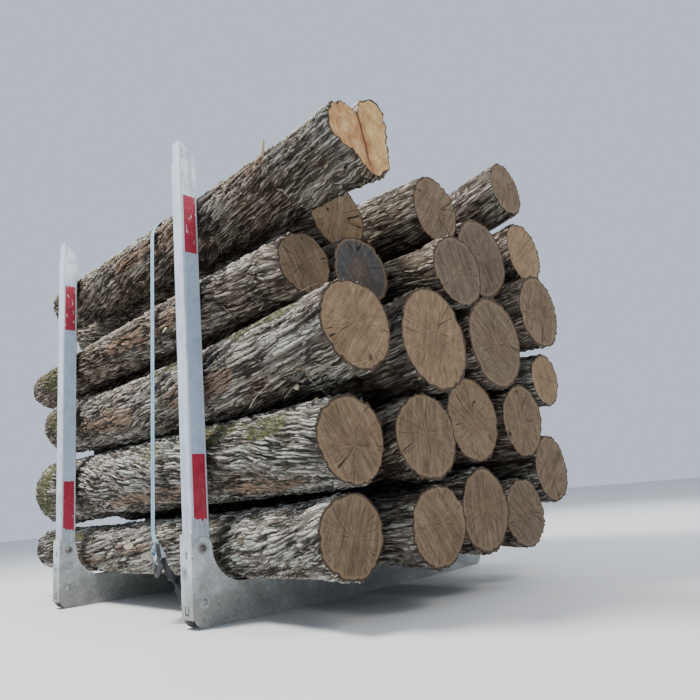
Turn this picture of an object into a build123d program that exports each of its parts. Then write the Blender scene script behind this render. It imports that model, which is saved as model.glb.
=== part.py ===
from build123d import *
import os
from dataclasses import dataclass
import numpy as np

# Stack of hardwood logs lying in two stake bunks, lashed with one webbing strap.
# X runs along the logs, Y across the load, Z up. The bunks stand on Z = 0.

# Bunks
OUTER_WIDTH = 2550.0
BUNK_SPACING = 1875.0
LOAD_OFFSET = 130.0
BEAM_TOP = 205.0
PLATE = 6.0
FRONT_STRIP = 12.0
STRIP_BOTTOM = 50.0
STRIP_TOP = 483.0
SOCKET_SHOULDER = 403.0
SOCKET_CHAMFER = 75.0
SKIRT_HEIGHT = 90.0
SKIRT_WIDTH = 34.0
SKIRT_TIP = 1090.0
SKIRT_FULL = 850.0
STRIP_HOLE = 24.0
STRIP_HOLE_HEIGHT = 46.0
STRIP_HOLE_Z = 374.0
STRIP_HOLE_X = 8.0
STRIP_EDGE = 5.0
SKIRT_TIP_SHARE = 0.06
KEY_SLOT_Z = 94.0
KEY_SLOT_WIDTH = 42.0
KEY_SLOT_HEIGHT = 50.0
KEY_SLOT_CUT = 11.0

# Stakes and the inserts that lengthen them
STAKE_WIDTH = 107.0
STAKE_DEPTH = 109.0
STAKE_WALL = 6.0
STAKE_CORNER = 9.0
STAKE_TOP = 2700.0
STAKE_FOOT = 60.0
STAKE_FIT = 0.5
INSERT_FIT = 0.5
INSERT_WALL = 5.0
INSERT_INSIDE = 290.0
INSERT_RISE = 130.0
INSERT_SLANT = 95.0

# Bolts through socket and stake
BOLT_DIAMETER = 24.0
BOLT_FIT = 0.5
WASHER_THICK = 4.0
UPPER_WASHER = 56.0
LOWER_WASHER = 64.0
HEAD_WIDTH = 36.0
HEAD_HEIGHT = 13.0
NUT_HEIGHT = 18.0
UPPER_BOLT_Z = 403.0
LOWER_BOLT_Z = 131.0
STRIP_BOLT = 16.0
STRIP_BOLT_X = -15.0
STRIP_BOLT_Z = 288.0
STRIP_WASHER = 54.0
STRIP_HEAD = 9.0
STRIP_HEAD_WIDTH = 24.0
STRIP_HEAD_EDGE = 3.0

# Logs
LOG_LENGTH = 3650.0
SEAT_GAP = 0.25
BUTT_FLARE = 0.13
FLARE_LENGTH = 500.0
LEAST_SPAN = 120.0
COMMON_STATIONS = (-640.0, 620.0)
LOBE_TWIST = 25.0
FORK_START = 0.45
FORK_LOBE = 0.16
FORK_SLIMMING = 0.10
FORK_ANGLE = 60.0
FORK_NOTCH = 0.26
FORK_NOTCH_ANGLE = 110.0
FORK_NOTCH_WIDTH = 17.0
SECTION_SIDES = 60
DROP_HEIGHT = 3400.0

# Lashing strap with its ratchet, hooks and eyes
STRAP_X = 280.0
STRAP_WIDTH = 50.0
STRAP_THICK = 3.0
STRAP_SAMPLES = 36
STRAP_GAP = 0.5
STRAP_CORNER_Y = 1190.0
STRAP_CORNER_Z = 470.0
EYE_Z = 56.0
EYE_RADIUS = 28.0
EYE_BAR = 14.0
EYE_STRAIGHT = np.radians(40.0)
HOOK_BAR = 11.0
HOOK_LENGTH = 75.0
CROSS_BAR = 12.0
SPOOL_X = 95.0
SPOOL = 34.0
SPINDLE = 14.0
RATCHET_PLATE = 3.0
RATCHET_SIDE = 6.0
FRAME_WIDTH = 38.0
FRAME_LENGTH = 95.0
HANDLE_REACH = 190.0
HANDLE_WIDTH = 26.0
HANDLE_OPEN = 14.0
BRIDGE_LENGTH = 30.0
BRIDGE_SHIFT = 12.0
BRIDGE_LOWER = 4.0
HOOK_BAR_OVERHANG = 6.0
GRIP = 26.0
RUNNING_GAP = 0.3

bunk_width = STAKE_WIDTH + 2 * STAKE_FIT + 2 * PLATE
strip_back_y = OUTER_WIDTH / 2 - FRONT_STRIP
stake_outer_y = strip_back_y - STAKE_FIT
stake_y = stake_outer_y - STAKE_DEPTH / 2
inner_y = stake_outer_y - STAKE_DEPTH
pocket_y = inner_y - STAKE_FIT
wall_y = pocket_y - PLATE
gusset_radius = SOCKET_SHOULDER - BEAM_TOP
gusset_y = wall_y - gusset_radius
left_x = -LOAD_OFFSET - BUNK_SPACING / 2
right_x = -LOAD_OFFSET + BUNK_SPACING / 2
spool_z = STRAP_THICK + RUNNING_GAP + SPOOL / 2
anchor_x = SPOOL_X + FRAME_LENGTH
hook_bend = EYE_BAR / 2 + RUNNING_GAP + HOOK_BAR / 2
ratchet_half = STRAP_WIDTH / 2 + RATCHET_SIDE


@dataclass
class Log:
    """One log: its mid diameter, place along X, butt end, bow and the shape of its section."""
    diameter: float
    drop_y: float
    longer: float = 0.0
    shift: float = 0.0
    butt: int = 1
    taper: float = 0.05
    flare: float = BUTT_FLARE
    bow: float = 12.0
    bow_angle: float = 90.0
    oval: float = 0.03
    oval_angle: float = 0.0
    lobe: float = 0.015
    lobe_angle: float = 20.0
    forked: bool = False


# In the order in which they are laid; those dropped at about Y = -900 lie against the near stakes
LOGS = [
    Log(375, -915, longer=150, shift=-170, butt=1, bow=22, bow_angle=-60, oval=0.02),
    Log(390, -380, longer=10, shift=0, butt=1, bow=9, bow_angle=0, oval=0.04, oval_angle=20, lobe_angle=0),
    Log(520, 62, longer=40, shift=-50, butt=-1, bow=15, bow_angle=180, oval_angle=70, lobe_angle=80),
    Log(390, 533, longer=-20, shift=-60, butt=1, bow=9, bow_angle=45, oval=0.02, lobe_angle=50),
    Log(470, 942, longer=10, shift=-50, butt=-1, bow=6, oval=0.04, oval_angle=100, lobe_angle=50),
    Log(503, -900, longer=-5, shift=-48, butt=-1, bow=8, oval=0.025, oval_angle=150),
    Log(430, -403, longer=60, shift=-20, butt=1, bow=16, bow_angle=60,
        oval=0.04, oval_angle=170, lobe_angle=40),
    Log(450, -10, longer=30, shift=-50, butt=1, bow=15, oval=0.02, oval_angle=120, lobe_angle=110),
    Log(520, 440, longer=60, shift=-40, butt=-1, bow_angle=45, oval=0.04, oval_angle=50, lobe_angle=10),
    Log(400, 924, longer=-20, shift=10, butt=-1, bow=15, bow_angle=45, oval=0.02, oval_angle=70),
    Log(480, -900, longer=35, shift=32, butt=1, flare=0.0, bow=75, bow_angle=-90, oval=0.04, oval_angle=160),
    Log(520, -415, longer=50, shift=30, butt=1, bow=24, oval_angle=110, lobe_angle=50),
    Log(520, 62, longer=50, shift=-10, butt=1, bow=9, bow_angle=180, oval=0.02, oval_angle=90, lobe_angle=0),
    Log(450, 507, longer=30, shift=50, butt=1, bow=18, bow_angle=180, oval_angle=70, lobe_angle=50),
    Log(410, 881, longer=50, shift=-70, butt=1, bow=13, oval=0.04, oval_angle=100, lobe_angle=0),
    Log(362, -965, longer=0, shift=-235, butt=1, flare=0.0, bow=24, oval=0.02),
    Log(480, -428, longer=-60, shift=-195, butt=-1, bow=5, bow_angle=-90,
        oval=0.02, oval_angle=170, lobe_angle=110),
    Log(410, 7, longer=30, shift=50, butt=1, bow=7, bow_angle=180, oval_angle=10, lobe_angle=30),
    Log(500, 481, longer=40, shift=-90, butt=1, bow=14, bow_angle=45, oval_angle=50, lobe_angle=90),
    Log(430, 928, longer=-10, shift=-30, butt=-1, bow=5, bow_angle=-90,
        oval=0.04, oval_angle=120, lobe_angle=70),
    Log(490, -500, longer=-230, shift=-300, butt=-1, bow=13, bow_angle=0,
        oval=0.04, oval_angle=160, lobe_angle=70),
    Log(415, -920, longer=0, shift=245, butt=1, bow=15, bow_angle=-90, forked=True),
    Log(490, 250, longer=20, shift=-80, butt=-1, bow=13, oval=0.02, oval_angle=60, lobe_angle=90),
]

THETA_COUNT = 180
THETA = np.arange(THETA_COUNT) * 2 * np.pi / THETA_COUNT
CORNER_STEP = THETA_COUNT // SECTION_SIDES
CONTACT_WINDOW = np.arange(-26, 27)
PUSH_LIMIT = 80
PUSH_TOLERANCE = 0.02
COARSE_SPACING = 800.0
FINE_SPACING = 130.0
SMALLEST_STEP = 0.05


def log_length(log):
    return LOG_LENGTH + log.longer


def log_ends(log):
    return log.shift - log_length(log) / 2, log.shift + log_length(log) / 2


def outline(log, x):
    """Radii of the log's section at x, for every angle of THETA."""
    start, end = log_ends(log)
    along = (x - start) / (end - start)
    from_butt = (1 - along if log.butt > 0 else along) * log_length(log)
    flare = log.flare * max(0.0, 1 - from_butt / FLARE_LENGTH) ** 2
    mean = log.diameter / 2 * (1 + log.taper * (1 - 2 * from_butt / log_length(log)) + flare)
    shape = 1 + log.oval * np.cos(2 * (THETA - np.radians(log.oval_angle)))
    shape += log.lobe * np.cos(3 * (THETA - np.radians(log.lobe_angle + LOBE_TWIST * along)))
    if log.forked:
        fork = max(0.0, (along - FORK_START) / (1 - FORK_START)) ** 1.5
        shape += fork * (FORK_LOBE * np.cos(3 * (THETA - np.radians(FORK_ANGLE))) - FORK_SLIMMING)
        away = np.angle(np.exp(1j * (THETA - np.radians(FORK_NOTCH_ANGLE))))
        shape -= fork * FORK_NOTCH * np.exp(-(away / np.radians(FORK_NOTCH_WIDTH)) ** 2)
    return mean * shape


def bow_offset(log, x):
    """How far the section's centre lies off the log's straight axis at x, along Y and Z."""
    start, end = log_ends(log)
    along = (x - start) / (end - start)
    rise = log.bow * (1 - (2 * along - 1) ** 2)
    return np.array([rise * np.cos(np.radians(log.bow_angle)), rise * np.sin(np.radians(log.bow_angle))])


def log_stations(log):
    """Places of the log's sections: its ends and the common stations between them."""
    start, end = log_ends(log)
    inner = [x for x in COMMON_STATIONS if start + LEAST_SPAN < x < end - LEAST_SPAN]
    flare_end = end - FLARE_LENGTH / 2 if log.butt > 0 else start + FLARE_LENGTH / 2
    return sorted([start, end, flare_end] + inner)


class PlacedLog:
    """A log with its sections worked out, and the height and side place of its two bearing points."""

    def __init__(self, log):
        self.log = log
        self.xs = log_stations(log)
        self.radii = [outline(log, x) for x in self.xs]
        self.bows = [bow_offset(log, x) for x in self.xs]
        self.place = np.array([[log.drop_y, DROP_HEIGHT], [log.drop_y, DROP_HEIGHT]])

    def bearing(self, x):
        share = (x - left_x) / (right_x - left_x)
        return np.array([1 - share, share])

    def section(self, x):
        """Bow and radii at x, straight between the stations as the solid is."""
        i = min(max(np.searchsorted(self.xs, x) - 1, 0), len(self.xs) - 2)
        share = (x - self.xs[i]) / (self.xs[i + 1] - self.xs[i])
        bow = self.bows[i] * (1 - share) + self.bows[i + 1] * share
        return bow, self.radii[i] * (1 - share) + self.radii[i + 1] * share

    def centre(self, x):
        bow, _ = self.section(x)
        return self.bearing(x) @ self.place + bow


def bunk_gap(points):
    """Distance inside the bunk's U, with the direction that leads back into it."""
    y, z = points[:, 0], points[:, 1]
    side = np.sign(y)
    out = np.abs(y)
    gap = z - BEAM_TOP
    push = np.stack([np.zeros_like(y), np.ones_like(y)], axis=1)
    in_corner = (out > gusset_y) & (z < SOCKET_SHOULDER)
    dy, dz = out - gusset_y, z - SOCKET_SHOULDER
    reach = np.hypot(dy, dz) + 1e-9
    gap = np.where(in_corner, gusset_radius - reach, gap)
    push[in_corner] = np.stack([-side * dy / reach, -dz / reach], axis=1)[in_corner]
    by_stake = z >= SOCKET_SHOULDER
    gap = np.where(by_stake, inner_y - out, gap)
    push[by_stake] = np.stack([-side, np.zeros_like(y)], axis=1)[by_stake]
    return gap, push


class Contacts:
    """Everything that a log being lowered can touch, prepared for quick repeated tests."""

    def __init__(self, mover, settled, spacing):
        rows = []
        for other in settled:
            low = max(mover.xs[0], other.xs[0])
            high = min(mover.xs[-1], other.xs[-1])
            knots = sorted({low, high, *[x for x in mover.xs + other.xs if low < x < high]})
            spots = [low]
            for start, end in zip(knots, knots[1:]):
                parts = int(np.ceil((end - start) / spacing))
                spots += [start + (end - start) * (i + 1) / parts for i in range(parts)]
            for x in spots:
                bow, radii = mover.section(x)
                _, other_radii = other.section(x)
                rows.append((mover.bearing(x), bow, radii, other.centre(x), other_radii))
        self.weights = np.array([row[0] for row in rows]).reshape(-1, 2)
        self.bows = np.array([row[1] for row in rows]).reshape(-1, 2)
        self.radii = np.array([row[2] for row in rows]).reshape(-1, THETA_COUNT)
        self.centres = np.array([row[3] for row in rows]).reshape(-1, 2)
        self.other_radii = np.array([row[4] for row in rows]).reshape(-1, THETA_COUNT)
        self.reach = self.radii.max(axis=1, initial=0) + self.other_radii.max(axis=1, initial=0)
        faces = [bunk + side * bunk_width / 2 for bunk in (left_x, right_x) for side in (-1, 0, 1)]
        self.bunk_weights = [mover.bearing(x) for x in faces]
        self.bunk_sections = [mover.section(x) for x in faces]

    def worst(self, place):
        """The deepest contact: its gap, the direction to push, and the two bearings' weights."""
        found = (1e9, None, None)
        own = self.weights @ place + self.bows
        apart = self.centres - own
        near = np.flatnonzero(np.hypot(apart[:, 0], apart[:, 1]) < self.reach + SEAT_GAP)
        if len(near):
            own, apart, centres = own[near], apart[near], self.centres[near]
            facing = np.round(np.arctan2(apart[:, 1], apart[:, 0]) / (2 * np.pi) * THETA_COUNT)
            index = (facing.astype(int)[:, None] + CONTACT_WINDOW) % THETA_COUNT
            own_radii = np.take_along_axis(self.radii[near], index, axis=1)
            angle = THETA[index]
            py = own[:, 0, None] + own_radii * np.cos(angle) - centres[:, 0, None]
            pz = own[:, 1, None] + own_radii * np.sin(angle) - centres[:, 1, None]
            reach = np.hypot(py, pz)
            turn = (np.arctan2(pz, py) / (2 * np.pi) * THETA_COUNT) % THETA_COUNT
            base = turn.astype(int) % THETA_COUNT
            part = turn - np.floor(turn)
            other_radii = self.other_radii[near]
            edge = np.take_along_axis(other_radii, base, axis=1) * (1 - part)
            edge += np.take_along_axis(other_radii, (base + 1) % THETA_COUNT, axis=1) * part
            gap = reach - edge
            row, column = np.unravel_index(np.argmin(gap), gap.shape)
            push = np.array([py[row, column], pz[row, column]]) / reach[row, column]
            found = (gap[row, column], push, self.weights[near[row]])
        for weight, (bow, radii) in zip(self.bunk_weights, self.bunk_sections):
            own = weight @ place + bow
            points = np.stack([own[0] + radii * np.cos(THETA), own[1] + radii * np.sin(THETA)], axis=1)
            gap, push = bunk_gap(points)
            i = int(np.argmin(gap))
            if gap[i] < found[0]:
                found = (gap[i], push[i], weight)
        return found

    def push_out(self, place):
        """The place moved until nothing is nearer than the seat gap, or None."""
        place = place.copy()
        for _ in range(PUSH_LIMIT):
            gap, push, weight = self.worst(place)
            short = SEAT_GAP - gap
            if short <= PUSH_TOLERANCE:
                return place
            place += np.outer(weight, push) * (short / (weight @ weight))
        return None


def settle(mover, settled):
    """Lower a log until it rests: it slides off what it meets as long as it still sinks.

    The long way down tests few places along the log, and the last millimetres test many.
    """
    for spacing, step in ((COARSE_SPACING, 80.0), (FINE_SPACING, 1.0)):
        contacts = Contacts(mover, settled, spacing)
        start = contacts.push_out(mover.place)
        mover.place = mover.place if start is None else start
        while step > SMALLEST_STEP:
            moved = contacts.push_out(mover.place - np.array([0.0, step]))
            if moved is not None and moved[:, 1].sum() < mover.place[:, 1].sum() - 0.02 * step:
                mover.place = moved
            else:
                step *= 0.6
    return mover


def stack_logs():
    settled = []
    for log in LOGS:
        settled.append(settle(PlacedLog(log), settled))
    return settled


def log_solid(placed):
    """The log as straight lofts between its sections."""
    faces = []
    for x, radii in zip(placed.xs, placed.radii):
        cy, cz = placed.centre(x)
        corners = zip(radii[::CORNER_STEP], THETA[::CORNER_STEP])
        points = [(x, cy + r * np.cos(a), cz + r * np.sin(a)) for r, a in corners]
        faces.append(make_face(Polyline(*points, close=True)))
    return loft(faces, ruled=True)


def x_prism(face_yz, x_low, x_high):
    """A face drawn in Y and Z, extruded from x_low to x_high."""
    return extrude(Plane.YZ.offset(x_low) * face_yz, x_high - x_low)


def side_plate_half():
    """Half of a bunk's side plate, drawn for the positive side of the load."""
    outer = strip_back_y
    crown_y = (outer + wall_y) / 2
    crown_z = SOCKET_SHOULDER + (outer - wall_y) / 2
    low_y = outer - SOCKET_CHAMFER
    bend = (gusset_y + gusset_radius * np.cos(np.pi / 4), SOCKET_SHOULDER - gusset_radius * np.sin(np.pi / 4))
    corner = (low_y + SOCKET_CHAMFER * np.sin(np.pi / 4), STRIP_BOTTOM * (1 - np.cos(np.pi / 4)))
    edge = [
        Line((0, 0), (low_y, 0)),
        ThreePointArc((low_y, 0), corner, (outer, STRIP_BOTTOM)),
        Line((outer, STRIP_BOTTOM), (outer, SOCKET_SHOULDER)),
        ThreePointArc((outer, SOCKET_SHOULDER), (crown_y, crown_z), (wall_y, SOCKET_SHOULDER)),
        ThreePointArc((wall_y, SOCKET_SHOULDER), bend, (gusset_y, BEAM_TOP)),
        Line((gusset_y, BEAM_TOP), (0, BEAM_TOP)),
        Line((0, BEAM_TOP), (0, 0)),
    ]
    return make_face(edge)


def saddle_half():
    """Half of the plate that the load lies on: it runs along the beam and up the gusset."""
    outer, inner = gusset_radius, gusset_radius + PLATE
    half = np.pi / 4
    near_bend = (gusset_y + outer * np.cos(half), SOCKET_SHOULDER - outer * np.sin(half))
    far_bend = (gusset_y + inner * np.cos(half), SOCKET_SHOULDER - inner * np.sin(half))
    edge = [
        Line((0, BEAM_TOP), (gusset_y, BEAM_TOP)),
        ThreePointArc((gusset_y, BEAM_TOP), near_bend, (wall_y, SOCKET_SHOULDER)),
        Line((wall_y, SOCKET_SHOULDER), (pocket_y, SOCKET_SHOULDER)),
        ThreePointArc((pocket_y, SOCKET_SHOULDER), far_bend, (gusset_y, BEAM_TOP - PLATE)),
        Line((gusset_y, BEAM_TOP - PLATE), (0, BEAM_TOP - PLATE)),
        Line((0, BEAM_TOP - PLATE), (0, BEAM_TOP)),
    ]
    return make_face(edge)


def skirt(side):
    """The lower edge of the beam folded outwards, wider towards the middle of the beam."""
    base = side * bunk_width / 2

    def triangle(y, share):
        wide, high = SKIRT_WIDTH * share, SKIRT_HEIGHT * share
        corners = [(base, y, 0), (base + side * wide, y, 0), (base, y, high)]
        return make_face(Polyline(*corners, close=True))

    middle = loft([triangle(-SKIRT_FULL, 1.0), triangle(SKIRT_FULL, 1.0)], ruled=True)
    near_end, far_end = [
        loft([triangle(end * SKIRT_TIP, SKIRT_TIP_SHARE), triangle(end * SKIRT_FULL, 1.0)], ruled=True)
        for end in (-1, 1)]
    return middle + near_end + far_end


def front_strip():
    """The socket's outer wall, with its round-ended hole and the U-shaped slot of its foot tab."""
    strip = Pos(0, strip_back_y + FRONT_STRIP / 2, (STRIP_BOTTOM + STRIP_TOP) / 2) * Box(
        bunk_width, FRONT_STRIP, STRIP_TOP - STRIP_BOTTOM)
    strip = fillet(strip.edges().filter_by(Axis.Z).group_by(Axis.Y)[-1], STRIP_EDGE)
    face = Plane(origin=(0, strip_back_y - 1, 0), x_dir=(1, 0, 0), z_dir=(0, 1, 0))
    depth = FRONT_STRIP + 2
    hole = SlotCenterToCenter(STRIP_HOLE_HEIGHT - STRIP_HOLE, STRIP_HOLE, rotation=90)
    strip -= extrude(face * Pos(STRIP_HOLE_X, -STRIP_HOLE_Z) * hole, depth)
    leg = Rectangle(KEY_SLOT_CUT, KEY_SLOT_HEIGHT)
    offset = (KEY_SLOT_WIDTH - KEY_SLOT_CUT) / 2
    foot = Pos(0, (KEY_SLOT_HEIGHT - KEY_SLOT_CUT) / 2) * Rectangle(KEY_SLOT_WIDTH, KEY_SLOT_CUT)
    key = Pos(-offset, 0) * leg + Pos(offset, 0) * leg + foot
    strip -= extrude(face * Pos(0, -KEY_SLOT_Z) * key, depth)
    strip -= Pos(STRIP_BOLT_X, strip_back_y, STRIP_BOLT_Z) * Rot(90, 0, 0) * Cylinder(
        STRIP_BOLT / 2 + BOLT_FIT, 4 * FRONT_STRIP)
    return strip


def bent_bar(points, thickness):
    """A round bar that turns at the points between its ends."""
    path = Polyline(*points)
    start = Plane(origin=path @ 0, z_dir=path % 0)
    return sweep(start * Circle(thickness / 2), path=path, transition=Transition.RIGHT)


def lashing_eye(side):
    """A bent round bar welded to the side plate beside the foot of the socket."""
    face = -bunk_width / 2
    corner, _ = eye_pull(side)
    pull_angle = np.arctan2(corner.Z - EYE_Z, right_x + face - corner.X)
    half = EYE_STRAIGHT / 2
    turns = [-np.pi / 2, (pull_angle - half - np.pi / 2) / 2, pull_angle - half, pull_angle + half, np.pi / 2]
    reach = [EYE_RADIUS, EYE_RADIUS, EYE_RADIUS / np.cos(half), EYE_RADIUS / np.cos(half), EYE_RADIUS]
    corners = [(face - r * np.cos(a), side * stake_y, EYE_Z + r * np.sin(a)) for r, a in zip(reach, turns)]
    return bent_bar(corners, EYE_BAR)


def bunk_solid():
    """One bunk, centred on X = 0: two side plates, the saddle, two open sockets and the skirts."""
    half_plate = side_plate_half()
    plate = half_plate + mirror(half_plate, Plane.YZ)
    half_saddle = saddle_half()
    saddle = half_saddle + mirror(half_saddle, Plane.YZ)
    inside = bunk_width / 2 - PLATE
    body = x_prism(saddle, -inside, inside)
    for side in (-1, 1):
        low = min(side * inside, side * bunk_width / 2)
        body += x_prism(plate, low, low + PLATE)
        body += skirt(side)
    wall_top = SOCKET_SHOULDER
    wall = Pos(0, (wall_y + pocket_y) / 2, wall_top / 2) * Box(2 * inside, PLATE, wall_top)
    socket = wall + front_strip()
    body += socket + mirror(socket, Plane.XZ)
    for z in (UPPER_BOLT_Z, LOWER_BOLT_Z):
        for side in (-1, 1):
            hole = Pos(0, side * stake_y, z) * Rot(0, 90, 0) * Cylinder(
                BOLT_DIAMETER / 2 + BOLT_FIT, 2 * bunk_width)
            body -= hole
    return body


def stake_section(width, depth, wall, corner):
    outer = RectangleRounded(width, depth, corner)
    inner = RectangleRounded(width - 2 * wall, depth - 2 * wall, max(corner - wall, 2.0))
    return outer - inner


def stake_solid(side):
    """Hollow stake standing in the socket on one side of the load."""
    section = stake_section(STAKE_WIDTH, STAKE_DEPTH, STAKE_WALL, STAKE_CORNER)
    body = Pos(0, side * stake_y, STAKE_FOOT) * extrude(section, STAKE_TOP - STAKE_FOOT)
    for z in (UPPER_BOLT_Z, LOWER_BOLT_Z):
        body -= Pos(0, side * stake_y, z) * Rot(0, 90, 0) * Cylinder(
            BOLT_DIAMETER / 2 + BOLT_FIT, 2 * STAKE_WIDTH)
    body -= strip_bolt_bore(side)
    return body


def strip_bolt_bore(side):
    """Room for the bolt that goes through the socket's outer wall into the stake."""
    return Pos(STRIP_BOLT_X, side * stake_outer_y, STRIP_BOLT_Z) * Rot(90, 0, 0) * Cylinder(
        STRIP_BOLT / 2 + BOLT_FIT, 6 * STAKE_WALL)


def insert_solid(side):
    """Tube that lengthens the stake, cut off at a slant that falls towards the load."""
    width = STAKE_WIDTH - 2 * STAKE_WALL - 2 * INSERT_FIT
    depth = STAKE_DEPTH - 2 * STAKE_WALL - 2 * INSERT_FIT
    section = stake_section(width, depth, INSERT_WALL, STAKE_CORNER - STAKE_WALL / 2)
    low, high = STAKE_TOP - INSERT_INSIDE, STAKE_TOP + INSERT_RISE
    body = Pos(0, side * stake_y, low) * extrude(section, high - low)
    outer, inner = side * (stake_y + depth / 2), side * (stake_y - depth / 2)
    slant = make_face(Polyline((outer, high), (inner, high), (inner, high - INSERT_SLANT), close=True))
    return body - x_prism(slant, -width, width)


def bolt_solid(washer):
    """Through bolt along X: domed head and washer on one plate, washer and nut on the other."""
    plate, seat = bunk_width / 2, bunk_width / 2 + WASHER_THICK
    tip = seat + HEAD_HEIGHT
    dome_radius = (HEAD_WIDTH ** 2 / 4 + HEAD_HEIGHT ** 2) / (2 * HEAD_HEIGHT)
    dome_angle = np.arcsin(HEAD_WIDTH / 2 / dome_radius)
    bands = dome_angle * np.array([1.0, 0.67, 0.33])
    dome = [(tip - dome_radius * (1 - np.cos(a)), dome_radius * np.sin(a)) for a in bands]
    profile = Polyline(
        (dome[-1][0], 0), (-seat, 0), (-seat, washer / 2), (-plate, washer / 2), (-plate, BOLT_DIAMETER / 2),
        (plate, BOLT_DIAMETER / 2), (plate, washer / 2), (seat, washer / 2), *dome, close=True)
    turned = revolve(make_face(profile), Axis.X)
    nut = Plane.YZ.offset(-seat - NUT_HEIGHT) * RegularPolygon(HEAD_WIDTH / 2, 6, major_radius=False)
    return turned + extrude(nut, NUT_HEIGHT)


def strip_bolt_solid(side):
    """Short bolt with its washer on the socket's outer wall."""
    face = strip_back_y + FRONT_STRIP
    inside = stake_outer_y - 2 * STAKE_WALL
    seat, head = face + WASHER_THICK, face + WASHER_THICK + STRIP_HEAD
    profile = Polyline(
        (0, inside), (STRIP_BOLT / 2, inside), (STRIP_BOLT / 2, face), (STRIP_WASHER / 2, face),
        (STRIP_WASHER / 2, seat), (STRIP_HEAD_WIDTH / 2, seat),
        (STRIP_HEAD_WIDTH / 2, head - STRIP_HEAD_EDGE), (STRIP_HEAD_WIDTH / 2 - STRIP_HEAD_EDGE, head),
        (0, head), close=True)
    body = Pos(STRIP_BOLT_X, 0, STRIP_BOLT_Z) * revolve(make_face(profile), Axis.Y)
    return body if side > 0 else mirror(body, Plane.XZ)


def bunk_bolts():
    """The bolts of one bunk, as solids that do not touch."""
    bolts = []
    for side in (-1, 1):
        bolts.append(Pos(0, side * stake_y, UPPER_BOLT_Z) * bolt_solid(UPPER_WASHER))
        bolts.append(Pos(0, side * stake_y, LOWER_BOLT_Z) * bolt_solid(LOWER_WASHER))
        bolts.append(strip_bolt_solid(side))
    return Compound(bolts)


def turn_of(a, b, c):
    return (b[0] - a[0]) * (c[1] - b[1]) - (b[1] - a[1]) * (c[0] - b[0])


def taut_chain(points):
    """Corners of the taut line over the points, from the lowest Y to the highest."""
    chain = []
    for point in sorted(points):
        while len(chain) > 1 and turn_of(chain[-2], chain[-1], point) >= 0:
            chain.pop()
        chain.append(point)
    return chain


def strap_route(settled):
    """The strap's inner line over the logs, from the near lower corner to the far one."""
    step = THETA_COUNT // STRAP_SAMPLES
    angles = THETA[::step]
    facing = np.stack([np.cos(angles), np.sin(angles)], axis=1)
    clear = 1 / np.cos(np.pi / STRAP_SAMPLES)
    points = [(-STRAP_CORNER_Y, STRAP_CORNER_Z), (STRAP_CORNER_Y, STRAP_CORNER_Z)]
    for placed in settled:
        middle = placed.centre(STRAP_X)
        reach = np.zeros(STRAP_SAMPLES)
        for x in (STRAP_X - STRAP_WIDTH / 2, STRAP_X, STRAP_X + STRAP_WIDTH / 2):
            _, radii = placed.section(x)
            reach = np.maximum(reach, radii[::step] * clear + facing @ (placed.centre(x) - middle))
        outline_points = middle + facing * (reach + STRAP_GAP)[:, None]
        points += [tuple(p) for p in outline_points if p[1] > STRAP_CORNER_Z]
    return taut_chain(points)


def strap_over_load(settled):
    """The strap's stretch over the load: its route thickened outwards and given its width."""
    inner = np.array(strap_route(settled))
    runs = np.diff(inner, axis=0)
    runs /= np.linalg.norm(runs, axis=1)[:, None]
    normals = np.stack([-runs[:, 1], runs[:, 0]], axis=1)
    corner_normals = normals[:-1] + normals[1:]
    corner_normals *= 2 / (np.linalg.norm(corner_normals, axis=1) ** 2)[:, None]
    offsets = np.vstack([normals[:1], corner_normals, normals[-1:]])
    outer = inner + offsets * STRAP_THICK
    corners = [tuple(p) for p in inner] + [tuple(p) for p in outer[::-1]]
    profile = make_face(Polyline(*corners, close=True))
    return x_prism(profile, STRAP_X - STRAP_WIDTH / 2, STRAP_X + STRAP_WIDTH / 2)


def eye_pull(side):
    """Where the lashing eye's bar takes the hook, on one side of the load."""
    corner = Vector(STRAP_X, side * STRAP_CORNER_Y, STRAP_CORNER_Z)
    centre = Vector(right_x - bunk_width / 2, side * stake_y, EYE_Z)
    towards = Vector(corner.X - centre.X, 0, corner.Z - centre.Z).normalized()
    return corner, centre + towards * EYE_RADIUS


def lashing_frame(side):
    """Frame of the diagonal stretch: X down towards the eye, Z away from the load, at the strap's corner."""
    corner, pull = eye_pull(side)
    along = (pull - corner).normalized()
    outwards = Vector(0, side, 0)
    outwards = (outwards - along * outwards.dot(along)).normalized()
    return Plane(origin=corner, x_dir=along, z_dir=outwards), (pull - corner).length


def strap_stretch(start, end, low, thick):
    """A flat stretch of webbing along X of the lashing frame."""
    return Pos((start + end) / 2, 0, low + thick / 2) * Box(end - start, STRAP_WIDTH, thick)


def strap_solid(settled):
    near_frame, _ = lashing_frame(-1)
    far_frame, reach = lashing_frame(1)
    bar_x = reach - HOOK_LENGTH
    near = near_frame * strap_stretch(-STRAP_WIDTH / 2, SPOOL_X, 0, STRAP_THICK)
    far = far_frame * strap_stretch(-STRAP_WIDTH / 2, bar_x, 0, STRAP_THICK)
    return strap_over_load(settled) + near + far


def cross_bar(x, z, radius, length):
    """A round bar across the lashing frame."""
    return Pos(x, 0, z) * Rot(90, 0, 0) * Cylinder(radius, length)


def ratchet_plate(outline_width, start, end, z):
    """Side plate of the ratchet: a round-ended flat drawn along X of the lashing frame."""
    middle = (start + end) / 2
    flat = SlotCenterToCenter(end - start, outline_width)
    face = Plane.XZ * Pos(middle, z) * flat
    return extrude(face, RATCHET_PLATE / 2, both=True)


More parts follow.
